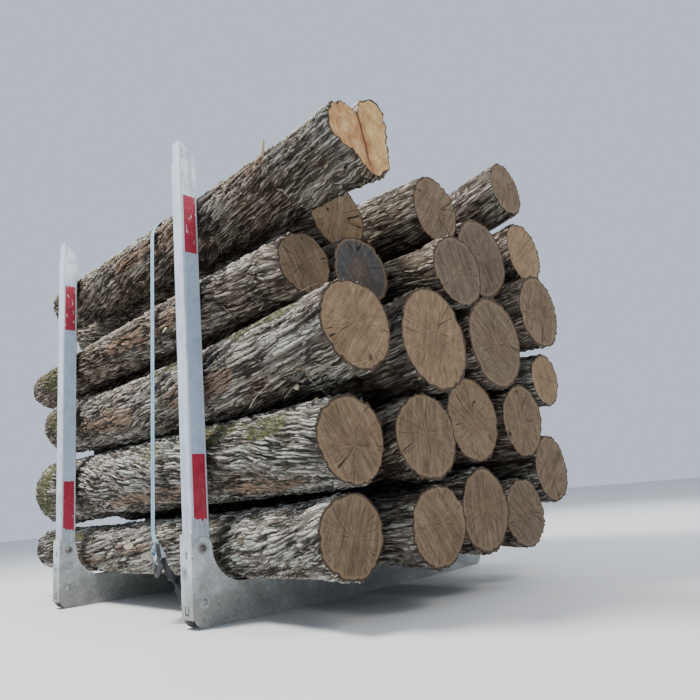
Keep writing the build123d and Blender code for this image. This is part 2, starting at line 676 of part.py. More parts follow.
def ratchet_frame_solid():
    """Two side plates, the bar that takes the end strap, and the bridge between the plates."""
    body = cross_bar(anchor_x, hook_bend, CROSS_BAR / 2, 2 * ratchet_half)
    for side in (-1, 1):
        plate = ratchet_plate(FRAME_WIDTH, SPOOL_X, anchor_x, spool_z)
        body += Pos(0, side * ratchet_half, 0) * plate
    bridge_x = (SPOOL_X + anchor_x) / 2 + BRIDGE_SHIFT
    bridge_z = spool_z + FRAME_WIDTH / 2 - BRIDGE_LOWER
    body += Pos(bridge_x, 0, bridge_z) * Box(BRIDGE_LENGTH, 2 * ratchet_half, RATCHET_PLATE)
    return body - cross_bar(SPOOL_X, spool_z, SPINDLE / 2 + RUNNING_GAP, 4 * ratchet_half)


def ratchet_spool_solid():
    """The drum that the strap winds on, with a spindle that reaches through the frame and the handle."""
    body = cross_bar(SPOOL_X, spool_z, SPOOL / 2, STRAP_WIDTH)
    return body + cross_bar(SPOOL_X, spool_z, SPINDLE / 2, 2 * ratchet_half + 6 * RATCHET_PLATE)


def ratchet_handle_solid():
    """Two arms on the spindle, joined by a round grip."""
    half = ratchet_half + RATCHET_PLATE + RUNNING_GAP
    body = cross_bar(SPOOL_X + HANDLE_REACH, spool_z, GRIP / 2, 2 * half + RATCHET_PLATE)
    for side in (-1, 1):
        arm = ratchet_plate(HANDLE_WIDTH, SPOOL_X, SPOOL_X + HANDLE_REACH, spool_z)
        body += Pos(0, side * half, 0) * arm
    body -= cross_bar(SPOOL_X, spool_z, SPINDLE / 2 + RUNNING_GAP, 4 * half)
    return Pos(SPOOL_X, 0, spool_z) * Rot(0, -HANDLE_OPEN, 0) * Pos(-SPOOL_X, 0, -spool_z) * body


def hook_solid(reach):
    """Bar hook round the eye, with a cross bar that carries the webbing."""
    bar_x = reach - HOOK_LENGTH
    flat = hook_bend * np.tan(np.pi / 8)
    curl = [
        (bar_x, 0, hook_bend), (reach + flat, 0, hook_bend), (reach + hook_bend, 0, flat),
        (reach + hook_bend, 0, -flat), (reach + flat, 0, -hook_bend), (reach - flat, 0, -hook_bend)]
    bar = cross_bar(bar_x, hook_bend, CROSS_BAR / 2, STRAP_WIDTH + 2 * HOOK_BAR_OVERHANG)
    return bent_bar(curl, HOOK_BAR) + bar


def strap_parts(settled):
    """The lashing: strap, ratchet and end strap on the near side, a hook on each side."""
    near_frame, near_reach = lashing_frame(-1)
    far_frame, far_reach = lashing_frame(1)
    webbing_low = hook_bend + CROSS_BAR / 2 + RUNNING_GAP
    end_strap = strap_stretch(anchor_x, near_reach - HOOK_LENGTH, webbing_low, 2 * STRAP_THICK)
    return {
        "strap": strap_solid(settled),
        "end_strap": near_frame * end_strap,
        "ratchet_frame": near_frame * ratchet_frame_solid(),
        "ratchet_spool": near_frame * ratchet_spool_solid(),
        "ratchet_handle": near_frame * ratchet_handle_solid(),
        "near_hook": near_frame * hook_solid(near_reach),
        "far_hook": far_frame * hook_solid(far_reach),
    }


def bunk_parts():
    parts = {}
    for name, x in (("left", left_x), ("right", right_x)):
        bunk = bunk_solid()
        if name == "right":
            bunk += lashing_eye(-1) + lashing_eye(1)
        parts[name + "_bunk"] = Pos(x, 0, 0) * bunk
        parts[name + "_bunk_bolts"] = Pos(x, 0, 0) * bunk_bolts()
        for place, side in (("near", -1), ("far", 1)):
            parts[f"{name}_{place}_stake"] = Pos(x, 0, 0) * stake_solid(side)
            parts[f"{name}_{place}_insert"] = Pos(x, 0, 0) * insert_solid(side)
    return parts


def main():
    settled = stack_logs()
    parts = {f"log_{i + 1:02d}": log_solid(placed) for i, placed in enumerate(settled)}
    parts.update(bunk_parts())
    parts.update(strap_parts(settled))
    os.makedirs("parts", exist_ok=True)
    for name, part in parts.items():
        export_step(part, f"parts/{name}.step")


main()
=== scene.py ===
"""Stack of hardwood logs in bark, lashed into two stake bunks. Lengths are in metres."""
import math
import bmesh
import bpy
import numpy as np
from mathutils import Matrix, Vector
from mathutils.bvhtree import BVHTree


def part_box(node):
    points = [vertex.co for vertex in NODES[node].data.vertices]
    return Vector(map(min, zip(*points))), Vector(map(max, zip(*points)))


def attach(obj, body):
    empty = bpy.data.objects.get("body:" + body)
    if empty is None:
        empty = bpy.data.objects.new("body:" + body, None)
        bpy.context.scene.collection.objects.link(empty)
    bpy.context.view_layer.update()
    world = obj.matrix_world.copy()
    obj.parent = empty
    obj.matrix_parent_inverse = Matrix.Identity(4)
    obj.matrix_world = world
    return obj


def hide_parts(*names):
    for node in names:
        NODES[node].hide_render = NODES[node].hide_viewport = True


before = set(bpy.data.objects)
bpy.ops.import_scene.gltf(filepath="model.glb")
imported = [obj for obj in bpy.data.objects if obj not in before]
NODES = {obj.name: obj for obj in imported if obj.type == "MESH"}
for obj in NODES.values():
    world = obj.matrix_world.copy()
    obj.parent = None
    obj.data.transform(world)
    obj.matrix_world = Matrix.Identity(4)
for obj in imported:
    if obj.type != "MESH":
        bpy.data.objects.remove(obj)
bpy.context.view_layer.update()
LOG_NAMES = sorted(name for name in NODES if name.startswith("log_"))
TURN = 2 * math.pi

# Camera, solved from the photograph
CAMERA_PLACE = (3.993, -3.067, 0.599)
CAMERA_YAW = math.radians(-45.20)
CAMERA_PITCH = math.radians(12.95)
CAMERA_ROLL = math.radians(-5.31)
CAMERA_LENS = 32.69
SENSOR_WIDTH = 36.0
FRAME_PIXELS = 700

# Bark of the logs
SECTION_INSET = 0.0004
SECTION_COUNT = 36
SECTION_ANGLES = 96
DIRECTIONS = 36
LOOK_PLACES = 6
LOOK_INSET = 0.2
LOOK_GAP = 0.004
NEAR_COLUMN_Y = -0.75
NEAR_FACING = 0.35
OPEN_DIRECTIONS = 5
NEAR_SPACING = (0.0062, 0.016)
OPEN_SPACING = (0.012, 0.033)
HIDDEN_SPACING = (0.022, 0.085)
END_REACH = 0.30
END_SPACING = 0.014
RIM_SHARES = (0.978, 0.955, 0.925, 0.86, 0.70, 0.48, 0.24, 0.08)
FACE_SINK = 0.0015
RIM_BREAK = 0.013
TORN_BREAK = 0.024
SECOND_BREAK = 0.55
RIM_CUT = 0.94
CLEAN_END = (0.06, 0.11)
RIDGE_WIDTH = 0.0165
RIDGE_LENGTH = 0.30
FURROW_WIDTH = 0.050
FURROW_LENGTH = 0.60
BARK_DEPTH = 0.022

# Lashing, as the solids have it
STRAP_X = 0.280
STRAP_WIDTH = 0.050
STRAP_STEP = 0.010
STRAP_ROUNDING = 14
OUTWARD_ROUNDING = 10
TWILL_PITCH = 0.0034
RIB_PITCH = 0.0024
BAND_AT = 0.013
SEAM_START = 0.035
WEBBING_HALF = 0.0015
WEBBING_SEAT = 0.0016
LASHING_CORNER = (0.280, 1.190, 0.470)
EYE_CENTRE = (0.7475, 1.208, 0.056)
EYE_RADIUS = 0.028
SPOOL_AT = (0.095, 0.0203)
ANCHOR_AT = (0.190, 0.0128)
HOOK_LENGTH = 0.075
BAR_RADIUS = 0.006
# The strap's end laid back on itself: way back from the hook's bar, and height over the strap's middle
LAID_BACK = ((0.012, 0.0175), (0.030, 0.0090), (0.050, 0.0048), (0.080, 0.0045), (0.110, 0.0045))
WHEEL_PLACE = 0.0272
WHEEL_THICK = 0.0028
WHEEL_TEETH = 12
WHEEL_TIP = 0.0180
WHEEL_ROOT = 0.0150
WHEEL_CORNERS = ((0.0, WHEEL_TIP), (0.12, WHEEL_TIP), (0.5, WHEEL_ROOT), (0.88, WHEEL_ROOT))

# Where the torn face's valley starts, from the middle of the log's end
VALLEY_AT = (-0.030, 0.120)

# Heads of the bunks' bolts
STAKE_Y = 1.208
UPPER_BOLT_Z = 0.403
LOWER_BOLT_Z = 0.131
HEAD_RADIUS = 0.018

# Marker tape
TAPE_LOW = 0.555
TAPE_LOW_RED = 0.904
TAPE_HIGH_RED = 2.089
TAPE_HIGH = 2.459
TAPE_SEAM = 0.002
TAPE_TEAR = 0.012
TAPE_SLANT = 0.014
TAPE_WIDTH = 0.092
TAPE_THICK = 0.0006


# Node helpers, for shader trees and geometry trees alike

class Tree:
    """Adds nodes to a tree, linking values and setting plain numbers."""

    def __init__(self, tree):
        self.tree = tree

    def add(self, kind, values=(), **settings):
        node = self.tree.nodes.new(kind)
        for name, value in settings.items():
            setattr(node, name, value)
        for key, value in dict(values).items():
            self.feed(node.inputs[key], value)
        return node

    def feed(self, socket, value):
        if isinstance(value, Value):
            self.tree.links.new(value.socket, socket)
        else:
            socket.default_value = value

    def made(self, kind, values=(), output=0, **settings):
        """One output of a new node."""
        return Value(self, self.add(kind, values, **settings).outputs[output])

    def outputs(self, node):
        return {socket.name: Value(self, socket) for socket in node.outputs}

    def math(self, operation, first, second=0.0, **settings):
        """Works on vectors where the first side is one, and on numbers otherwise."""
        vector = isinstance(first, Value) and first.socket.type in ("VECTOR", "RGBA")
        kind = "ShaderNodeVectorMath" if vector else "ShaderNodeMath"
        return self.made(kind, {0: first, 1: second}, operation=operation, **settings)

    def attribute(self, name, output="Fac"):
        return self.made("ShaderNodeAttribute", output=output, attribute_name=name, attribute_type="GEOMETRY")

    def combine(self, x, y, z):
        return self.made("ShaderNodeCombineXYZ", {0: x, 1: y, 2: z})

    def group(self, tree, **values):
        """A placed copy of a shader group; underscores in the names stand for spaces."""
        values = {name.replace("_", " "): value for name, value in values.items()}
        return self.outputs(self.add("ShaderNodeGroup", values, node_tree=tree))


def operator(operation, swapped=False):
    """A method of Value that adds a math node."""
    def method(self, other=0.0):
        return self.helper.math(operation, *((other, self) if swapped else (self, other)))
    return method


class Value:
    """An output of a node, with the nodes that work on it written as plain expressions."""

    __add__, __radd__ = operator("ADD"), operator("ADD", True)
    __sub__, __rsub__ = operator("SUBTRACT"), operator("SUBTRACT", True)
    __mul__, __truediv__, __pow__ = operator("MULTIPLY"), operator("DIVIDE"), operator("POWER")
    __abs__, root, most = operator("ABSOLUTE"), operator("SQRT"), operator("MAXIMUM")
    sine, cosine = operator("SINE"), operator("COSINE")

    def __init__(self, helper, socket):
        self.helper, self.socket = helper, socket

    def scaled(self, factor):
        return self.helper.made("ShaderNodeVectorMath", {0: self, "Scale": factor}, operation="SCALE")

    def split(self):
        return list(self.helper.outputs(self.helper.add("ShaderNodeSeparateXYZ", {0: self})).values())

    def noise(self, scale, detail=3.0, roughness=0.55, output="Fac"):
        values = {"Vector": self, "Scale": scale, "Detail": detail, "Roughness": roughness}
        return self.helper.made("ShaderNodeTexNoise", values, output)

    def edges(self, scale):
        values = {"Vector": self, "Scale": scale}
        return self.helper.made("ShaderNodeTexVoronoi", values, "Distance", feature="DISTANCE_TO_EDGE")

    def smooth(self, low, high, from_value=0.0, to_value=1.0):
        values = {"Value": self, "From Min": low, "From Max": high, "To Min": from_value, "To Max": to_value}
        return self.helper.made("ShaderNodeMapRange", values, interpolation_type="SMOOTHSTEP")

    def ramp(self, stops):
        node = self.helper.add("ShaderNodeValToRGB", {"Fac": self})
        elements = node.color_ramp.elements
        while len(elements) < len(stops):
            elements.new(0.5)
        for element, (place, color) in zip(elements, stops):
            element.position = place
            element.color = (*color, 1.0)
        return Value(self.helper, node.outputs["Color"])

    def mix(self, share, other, blend="MIX"):
        """This colour with a share of another."""
        other = (*other, 1.0) if isinstance(other, tuple) else other
        values = {0: share, 6: self, 7: other}
        return self.helper.made("ShaderNodeMix", values, 2, data_type="RGBA", blend_type=blend)


def covered(color, cover, share=1.0):
    """A colour under a cover, given as the outputs of a dirt or rust group."""
    mask = cover["Mask"] if share == 1.0 else cover["Mask"] * share
    return color.mix(mask, cover["Color"])


class Finish(Tree):
    """A material in the making; constants go straight to its Principled shader's own sockets."""

    def __init__(self, name, roughness=0.6, metallic=0.0, **constants):
        self.material = bpy.data.materials.new(name)
        self.material.use_nodes = True
        super().__init__(self.material.node_tree)
        self.inputs = self.tree.nodes["Principled BSDF"].inputs
        for socket, value in {"Roughness": roughness, "Metallic": metallic, **constants}.items():
            self.inputs[socket.replace("_", " ")].default_value = value

    def object_place(self):
        return self.made("ShaderNodeTexCoord", output="Object")

    def done(self, color, height, distance, strength, roughness=None):
        """The material, once its shader has its colour, its bump and, where it varies, its roughness."""
        self.feed(self.inputs["Base Color"], color)
        if roughness:
            self.feed(self.inputs["Roughness"], roughness)
        values = {"Height": height, "Distance": distance, "Strength": strength}
        self.feed(self.inputs["Normal"], self.made("ShaderNodeBump", values, "Normal"))
        return self.material


def group_tree(name, inputs, outputs):
    """A shader node group with named sockets; gives the tree helper, its inputs and its output sockets."""
    tree = bpy.data.node_groups.new(name, "ShaderNodeTree")
    kinds = {"V": "NodeSocketVector", "F": "NodeSocketFloat", "C": "NodeSocketColor"}
    for in_out, sockets in (("INPUT", inputs), ("OUTPUT", outputs)):
        for socket, kind in sockets:
            tree.interface.new_socket(socket, in_out=in_out, socket_type=kinds[kind])
    helper = Tree(tree)
    return helper, helper.outputs(helper.add("NodeGroupInput")), helper.add("NodeGroupOutput").inputs


# Effects that several finishes share

def make_fibre_grain():
    """Fine streaks along X, for bark ridges and bare wood."""
    helper, given, out = group_tree(
        "fibre grain", [("Place", "V"), ("Fineness", "F"), ("Stretch", "F")],
        [("Streak", "F"), ("Speck", "F")])
    x, y, z = given["Place"].split()
    along = x / given["Stretch"]
    place = helper.combine(along, y, z)
    helper.feed(out["Streak"], place.noise(given["Fineness"], 4.0, 0.65))
    fine = given["Fineness"] * 3.1
    helper.feed(out["Speck"], given["Place"].noise(fine, 2.0, 0.6))
    return helper.tree


def make_road_dirt():
    """Splashes and dust, thicker towards the floor."""
    helper, given, out = group_tree(
        "road dirt", [("Place", "V"), ("Amount", "F"), ("Top", "F")], [("Mask", "F"), ("Color", "C")])
    low = given["Place"].split()[2].smooth(given["Top"], 0.0)
    blotch = given["Place"].noise(9.0, 5.0, 0.65)
    fleck = given["Place"].noise(70.0, 3.0, 0.6)
    share = low * 0.35 + 0.12
    mask = (blotch * 0.7 + fleck * 0.3 + share).smooth(0.62, 0.95)
    helper.feed(out["Mask"], mask * given["Amount"])
    helper.feed(out["Color"], fleck.ramp([(0.3, (0.10, 0.085, 0.07)), (0.7, (0.27, 0.24, 0.20))]))
    return helper.tree


def make_rust():
    """Patches of rust with a stained rim."""
    helper, given, out = group_tree(
        "rust bloom", [("Place", "V"), ("Scale", "F"), ("Amount", "F")], [("Mask", "F"), ("Color", "C")])
    patch = given["Place"].noise(given["Scale"], 6.0, 0.7)
    reach = patch + given["Amount"]
    helper.feed(out["Mask"], reach.smooth(0.58, 0.72))
    stain = [(0.35, (0.055, 0.026, 0.014)), (0.6, (0.19, 0.075, 0.028)), (0.8, (0.36, 0.17, 0.07))]
    helper.feed(out["Color"], patch.ramp(stain))
    return helper.tree


FIBRE = make_fibre_grain()
DIRT = make_road_dirt()
RUST = make_rust()


# Materials of the logs

def bark_pattern(place):
    """Height of the bark at a place of its grain: 0 in the furrows, 1 on the ridges."""
    warp = (place.noise(2.0, 4.0, 0.5, "Color") - (0.5, 0.5, 0.5)) * (0.10, 0.13, 0.13)
    warped = place + warp
    cell = warped / (RIDGE_LENGTH, RIDGE_WIDTH, RIDGE_WIDTH)
    ridge = cell.edges(1.0).smooth(0.0, 0.26)
    broad = warped / (FURROW_LENGTH, FURROW_WIDTH, FURROW_WIDTH)
    vein = abs(broad.noise(1.0) - 0.5).smooth(0.0, 0.075)
    fibre = (warped * (0.10, 1.0, 1.0)).noise(75.0, 4.0, 0.72)
    crumb = (warped * (0.45, 1.0, 1.0)).noise(30.0, 4.0, 0.68)
    swell = warped.noise(5.0, 3.0, 0.6)
    level = vein * (0.26 + ridge * 0.50) + ridge * 0.07 + (fibre - 0.5) * 0.62 + (crumb - 0.5) * 0.55
    return place.helper.math("ADD", level, (swell - 0.42) * 0.55, use_clamp=True)


def make_bark_level():
    """The pattern as a shader group, with the same heights as the relief."""
    helper, given, out = group_tree("bark level", [("Place", "V")], [("Level", "F")])
    helper.feed(out["Level"], bark_pattern(given["Place"]))
    return helper.tree


BARK_LEVEL = make_bark_level()


def patchy(share, noise, low, high):
    """A mask with a ragged edge where a soft share meets a noise."""
    return (share + (noise - 0.5) * 1.5).smooth(low, high)


def bark_finish():
    """Bark: furrows dark in their own colour and with painted shade, brown flanks, grey ridge tops, with
    moss, lichen and torn places.
    """
    helper = Finish("bark", roughness=0.9, Specular_IOR_Level=0.22)
    grain_place = helper.attribute("grain_place", "Vector")
    level = helper.group(BARK_LEVEL, Place=grain_place)["Level"]
    grain = helper.group(FIBRE, Place=grain_place, Fineness=70.0, Stretch=5.0)
    wobble = (grain["Streak"] - 0.5) * 0.45
    fine = (grain["Speck"] - 0.5) * 0.30
    colour_and_furrow_shade = level + (wobble + fine)
    # The lowest, near-black stops of both ramps are painted shade in the furrows; the higher stops are the
    # bark's own colour.
    brown = colour_and_furrow_shade.ramp([
        (0.04, (0.020, 0.015, 0.011)), (0.26, (0.070, 0.050, 0.035)), (0.50, (0.165, 0.126, 0.092)),
        (0.74, (0.285, 0.238, 0.186)), (1.0, (0.43, 0.385, 0.32))])
    grey = colour_and_furrow_shade.ramp([
        (0.04, (0.022, 0.020, 0.017)), (0.26, (0.085, 0.077, 0.064)), (0.50, (0.215, 0.203, 0.176)),
        (0.74, (0.395, 0.382, 0.342)), (1.0, (0.62, 0.605, 0.55))])
    tone = helper.attribute("tone")
    broad = grain_place.noise(2.6, 4.0, 0.6)
    share = (broad + (tone - 0.5)).smooth(0.34, 0.66)
    color = brown.mix(share, grey)
    bright = 0.60 + tone * 0.75
    color = color.mix(1.0, helper.combine(bright, bright, bright), "MULTIPLY")
    flake = (grain_place * (0.45, 1.0, 1.0)).noise(16.0, 5.0, 0.66)
    inner = patchy(helper.attribute("inner_bark"), flake, 0.62, 0.80)
    scrap = flake.smooth(0.66, 0.72)
    torn = inner.most(scrap) * level.smooth(0.22, 0.55)
    color = color.mix(torn * 0.72, grain["Streak"].ramp([
        (0.3, (0.15, 0.075, 0.042)), (0.52, (0.34, 0.195, 0.118)), (0.75, (0.54, 0.375, 0.255))]))
    tuft = grain_place.noise(30.0, 6.0, 0.72)
    spread = (grain_place.noise(9.0, 4.0, 0.65) - 0.5) * 2.4
    mossy = helper.attribute("moss") + spread
    grown = patchy(mossy, tuft, 0.62, 0.95)
    color = color.mix(grown * 0.80, tuft.ramp([
        (0.35, (0.040, 0.042, 0.018)), (0.52, (0.105, 0.108, 0.045)), (0.70, (0.215, 0.215, 0.105))]))
    crust = grain_place.noise(38.0, 5.0, 0.65)
    crusted = patchy(helper.attribute("lichen"), crust, 0.80, 1.02) * level.smooth(0.30, 0.75)
    color = color.mix(crusted * 0.75, (0.50, 0.52, 0.47))
    bare = patchy(helper.attribute("bare_wood"), flake, 0.52, 0.60)
    wood = grain["Streak"].ramp([
        (0.3, (0.30, 0.25, 0.18)), (0.5, (0.48, 0.43, 0.34)), (0.72, (0.66, 0.61, 0.51))])
    color = color.mix(bare, wood)
    dust = grain_place.noise(5.0, 4.0, 0.6).smooth(0.50, 0.72)
    color = color.mix(dust * 0.22, (0.33, 0.28, 0.22))
    missing = level - helper.attribute("bark_height")
    relief = missing + (grain["Streak"] + grain["Speck"]) * 0.16
    return helper.done(color, relief, BARK_DEPTH, 0.85, roughness=level.smooth(0.2, 0.9, 0.97, 0.84))


def sawn_finish():
    """Sawn end: dull tan wood with rings, saw streaks, radial cracks and a dark bark rim."""
    helper = Finish("sawn_end", roughness=0.82, Specular_IOR_Level=0.25)
    flat = helper.attribute("end_place", "Vector")
    rim = helper.attribute("rim")
    tone = helper.attribute("end_tone")
    turned = helper.attribute("end_turn")
    values = {"Vector": flat, "Angle": turned}
    saw_place = helper.made("ShaderNodeVectorRotate", values, rotation_type="X_AXIS")
    ring_warp = flat.noise(8.0, 4.0) * 0.11
    ring = (rim + ring_warp) * 34.0
    rings = abs((ring * (TURN / 2)).sine()).smooth(0.0, 0.9)
    streak = (saw_place * (1.0, 15.0, 0.7)).noise(13.0, 6.0, 0.74)
    broad_saw = (saw_place * (1.0, 5.0, 0.5)).noise(7.0, 3.0, 0.6)
    y, z = flat.split()[1:3]
    angle = helper.math("ARCTAN2", z, y)
    reach = (y ** 2.0 + z ** 2.0).root()
    spoke_place = helper.combine(angle.cosine(), angle.sine(), reach * 1.3) + flat * (3.1, 0.0, 0.0)
    spoke = spoke_place.noise(11.0, 6.0, 0.78)
    level = streak * 0.46 + spoke * 0.30 + broad_saw * 0.18 + rings * 0.07
    fresh = level.ramp([
        (0.36, (0.20, 0.100, 0.038)), (0.46, (0.36, 0.205, 0.092)),
        (0.54, (0.50, 0.315, 0.160)), (0.68, (0.70, 0.52, 0.31))])
    aged = level.ramp([
        (0.36, (0.048, 0.028, 0.015)), (0.46, (0.108, 0.070, 0.041)),
        (0.54, (0.178, 0.126, 0.078)), (0.68, (0.33, 0.265, 0.185))])
    grey = level.ramp([
        (0.36, (0.020, 0.019, 0.019)), (0.50, (0.058, 0.055, 0.053)), (0.68, (0.15, 0.145, 0.138))])
    color = fresh.mix(tone.smooth(0.0, 0.5), aged)
    color = color.mix(tone.smooth(0.55, 1.0), grey)
    heart = (rim + ring_warp).smooth(0.58, 0.26)
    color = color.mix(heart * 0.30, (0.105, 0.055, 0.028))
    blotch = flat.noise(6.0, 5.0, 0.65).smooth(0.48, 0.72)
    color = color.mix(blotch * 0.45, (0.062, 0.040, 0.025))
    star = reach.smooth(0.085, 0.01) * spoke.smooth(0.50, 0.62)
    color = color.mix(star * 0.6, (0.36, 0.28, 0.19))
    crack_place = helper.combine(angle.cosine(), angle.sine(), reach * 0.35) + flat * (5.3, 0.5, 0.5)
    crack = crack_place.edges(1.7).smooth(0.012, 0.004) * flat.noise(7.0, 2.0).smooth(0.48, 0.54)
    crack = crack * rim.smooth(0.95, 0.85)
    color = color.mix(crack, (0.018, 0.012, 0.008))
    edge = rim + (flat.noise(20.0, 5.0, 0.65) - 0.5) * 0.10
    color = color.mix(edge.smooth(0.83, 0.87) * 0.55, (0.22, 0.15, 0.09))
    bark_rim = flat.noise(120.0, 3.0).ramp([(0.3, (0.022, 0.015, 0.011)), (0.7, (0.125, 0.085, 0.058))])
    color = color.mix(edge.smooth(0.895, 0.915), bark_rim)
    return helper.done(color, streak + spoke * 0.5 - crack * 1.5, 0.0035, 0.9)


def split_finish(middle):
    """Torn face of the forked log: fresh orange wood, with a dark valley that falls from the fork, one side
    of it in painted light and the other in painted shade, and a band of painted shade along it.
    """
    helper = Finish("split_face", roughness=0.8, Specular_IOR_Level=0.25)
    place = helper.object_place() - (0.0, middle[0], middle[1])
    rim = helper.attribute("rim")
    y, z = place.split()[1:3]
    bend = (place.noise(7.0, 3.0) - 0.5) * 0.05
    across = (y - VALLEY_AT[0]) * 0.97 + bend + (z - VALLEY_AT[1]) * 0.25
    down = z * 0.97 - y * 0.25
    fibre = helper.combine(0.0, across * 9.0, down).noise(16.0, 6.0, 0.75)
    rough = place.noise(14.0, 5.0, 0.65)
    level = fibre * 0.6 + rough * 0.4
    # Two copies of the wood's colour: the first is painted shade for the side of the valley turned from the
    # light, the second is painted light for the lit side.
    shaded_side = level.ramp([
        (0.36, (0.20, 0.082, 0.030)), (0.46, (0.42, 0.215, 0.085)),
        (0.55, (0.60, 0.375, 0.175)), (0.68, (0.80, 0.60, 0.34))])
    light = level.ramp([
        (0.36, (0.24, 0.120, 0.040)), (0.46, (0.46, 0.280, 0.110)),
        (0.55, (0.66, 0.440, 0.195)), (0.68, (0.84, 0.64, 0.36))])
    color = shaded_side.mix(across.smooth(-0.01, 0.04), light)
    # A darker band along the valley: painted shade.
    near = abs(across).smooth(0.055, 0.0)
    color = color.mix(near * 0.55, (0.30, 0.105, 0.038))
    valley = abs(across).smooth(0.010, 0.002) * z.smooth(-0.20, -0.14)
    color = color.mix(valley * 0.85, (0.045, 0.018, 0.008))
    edge = rim + (rough - 0.5) * 0.12
    color = color.mix(edge.smooth(0.90, 0.93), (0.085, 0.055, 0.036))
    return helper.done(color, level - near * 0.5, 0.012, 0.9)


BARK = bark_finish()
SAWN = sawn_finish()


# Shapes of the logs

def node_tree_of(node):
    """A search tree over a CAD node's faces."""
    mesh = node.data
    places = [vertex.co.copy() for vertex in mesh.vertices]
    return BVHTree.FromPolygons(places, [tuple(face.vertices) for face in mesh.polygons])


class LogShape:
    """The smooth form of a CAD log: its axis, and the radius for each place along it and angle round it."""

    def __init__(self, name):
        self.name = name
        low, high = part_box(name)
        self.start, self.end = low.x, high.x
        self.faces = node_tree_of(NODES[name])
        self.xs = np.linspace(self.start + SECTION_INSET, self.end - SECTION_INSET, SECTION_COUNT)
        self.angles = np.arange(SECTION_ANGLES) * TURN / SECTION_ANGLES
        centre = self.end_middles(name)
        self.centres = np.array([self.refine(x, centre(x)) for x in self.xs])
        self.radii = np.array([self.cast(x, c, self.angles) for x, c in zip(self.xs, self.centres)])
        self.mean = float(self.radii.mean())
        self.near = self.centres[:, 0].mean() < NEAR_COLUMN_Y

    def end_middles(self, name):
        """First guess of the axis: the line between the middles of the two end faces."""
        places = np.array([vertex.co for vertex in NODES[name].data.vertices])
        ends = []
        for x in (self.start, self.end):
            rim = places[np.abs(places[:, 0] - x) < 0.001]
            ends.append((rim[:, 1:].min(0) + rim[:, 1:].max(0)) / 2)
        return lambda x: ends[0] + (ends[1] - ends[0]) * (x - self.start) / (self.end - self.start)

    def cast(self, x, centre, angles):
        found = []
        for angle in angles:
            way = Vector((0.0, math.cos(angle), math.sin(angle)))
            hit = self.faces.ray_cast(Vector((x, centre[0], centre[1])), way)
            found.append(hit[3] if hit[3] is not None else np.nan)
        radii = np.array(found)
        missing = np.isnan(radii)
        if missing.any():
            radii[missing] = np.nanmean(radii)
        return radii

    def refine(self, x, centre):
        angles = self.angles[::8]
        for _ in range(2):
            radii = self.cast(x, centre, angles)
            shift = np.array([(radii * np.cos(angles)).mean(), (radii * np.sin(angles)).mean()])
            centre = centre + shift
        return centre

    def sample(self, xs, angles):
        """Centres and radii on a finer grid."""
        xs = np.clip(xs, self.xs[0], self.xs[-1])
        centres = np.stack([np.interp(xs, self.xs, self.centres[:, i]) for i in (0, 1)], axis=1)
        closed = np.concatenate([self.radii, self.radii[:, :1]], axis=1)
        turns = np.append(self.angles, TURN)
        rows = np.array([np.interp(angles % TURN, turns, row) for row in closed])
        radii = np.array([np.interp(xs, self.xs, column) for column in rows.T]).T
        return centres, radii


def open_sides(shape, others):
    """For each direction round a log, whether a look outwards meets nothing."""
    free = np.zeros(DIRECTIONS, bool)
    for i, angle in enumerate(np.arange(DIRECTIONS) * TURN / DIRECTIONS):
        way = Vector((0.0, math.cos(angle), math.sin(angle)))
        for x in np.linspace(shape.start + LOOK_INSET, shape.end - LOOK_INSET, LOOK_PLACES):
            (centre,), ((radius,),) = shape.sample(np.array([x]), np.array([angle]))
            origin = Vector((x, centre[0], centre[1])) + way * (radius + LOOK_GAP)
            if all(other.faces.ray_cast(origin, way)[0] is None for other in others):
                free[i] = True
                break
    return free


def ring_angles(shape, free):
    """Angles round a log: close together where the bark shows, wide apart where it does not."""
    angles = []
    for i in range(DIRECTIONS):
        facing_near = math.cos(i * TURN / DIRECTIONS) < NEAR_FACING
        if not free[i]:
            spacing = HIDDEN_SPACING[0]
        elif shape.near and facing_near:
            spacing = NEAR_SPACING[0]
        else:
            spacing = OPEN_SPACING[0]
        count = max(1, round(TURN / DIRECTIONS * shape.mean / spacing))
        angles += [(i - 0.5 + k / count) * TURN / DIRECTIONS for k in range(count)]
    return np.array(angles)


def along_places(shape, free):
    """Places along a log, close together where it shows and near its ends."""
    open_spacing = OPEN_SPACING if free.sum() > OPEN_DIRECTIONS else HIDDEN_SPACING
    spacing = (NEAR_SPACING if shape.near else open_spacing)[1]
    length = shape.end - shape.start
    ends = np.arange(0, END_REACH, min(END_SPACING, spacing))
    middle_count = max(2, round((length - 2 * END_REACH) / spacing))
    middle = np.linspace(END_REACH, length - END_REACH, middle_count + 1)
    places = np.concatenate([ends, middle, (length - ends)[::-1]])
    return shape.start + np.clip(places, FACE_SINK / 2, length - FACE_SINK / 2)


def blobs(xs, angles, spots):
    """Soft spots on a log's side: each is (x, angle in degrees, half length, half angle in degrees)."""
    field = np.zeros((len(xs), len(angles)))
    for x, angle, reach, spread in spots:
        away = (np.degrees(angles)[None, :] - angle + 180) % 360 - 180
        distance = ((xs[:, None] - x) / reach) ** 2 + (away / spread) ** 2
        field = np.maximum(field, np.clip(1.25 - 0.75 * distance, 0, 1))
    return field


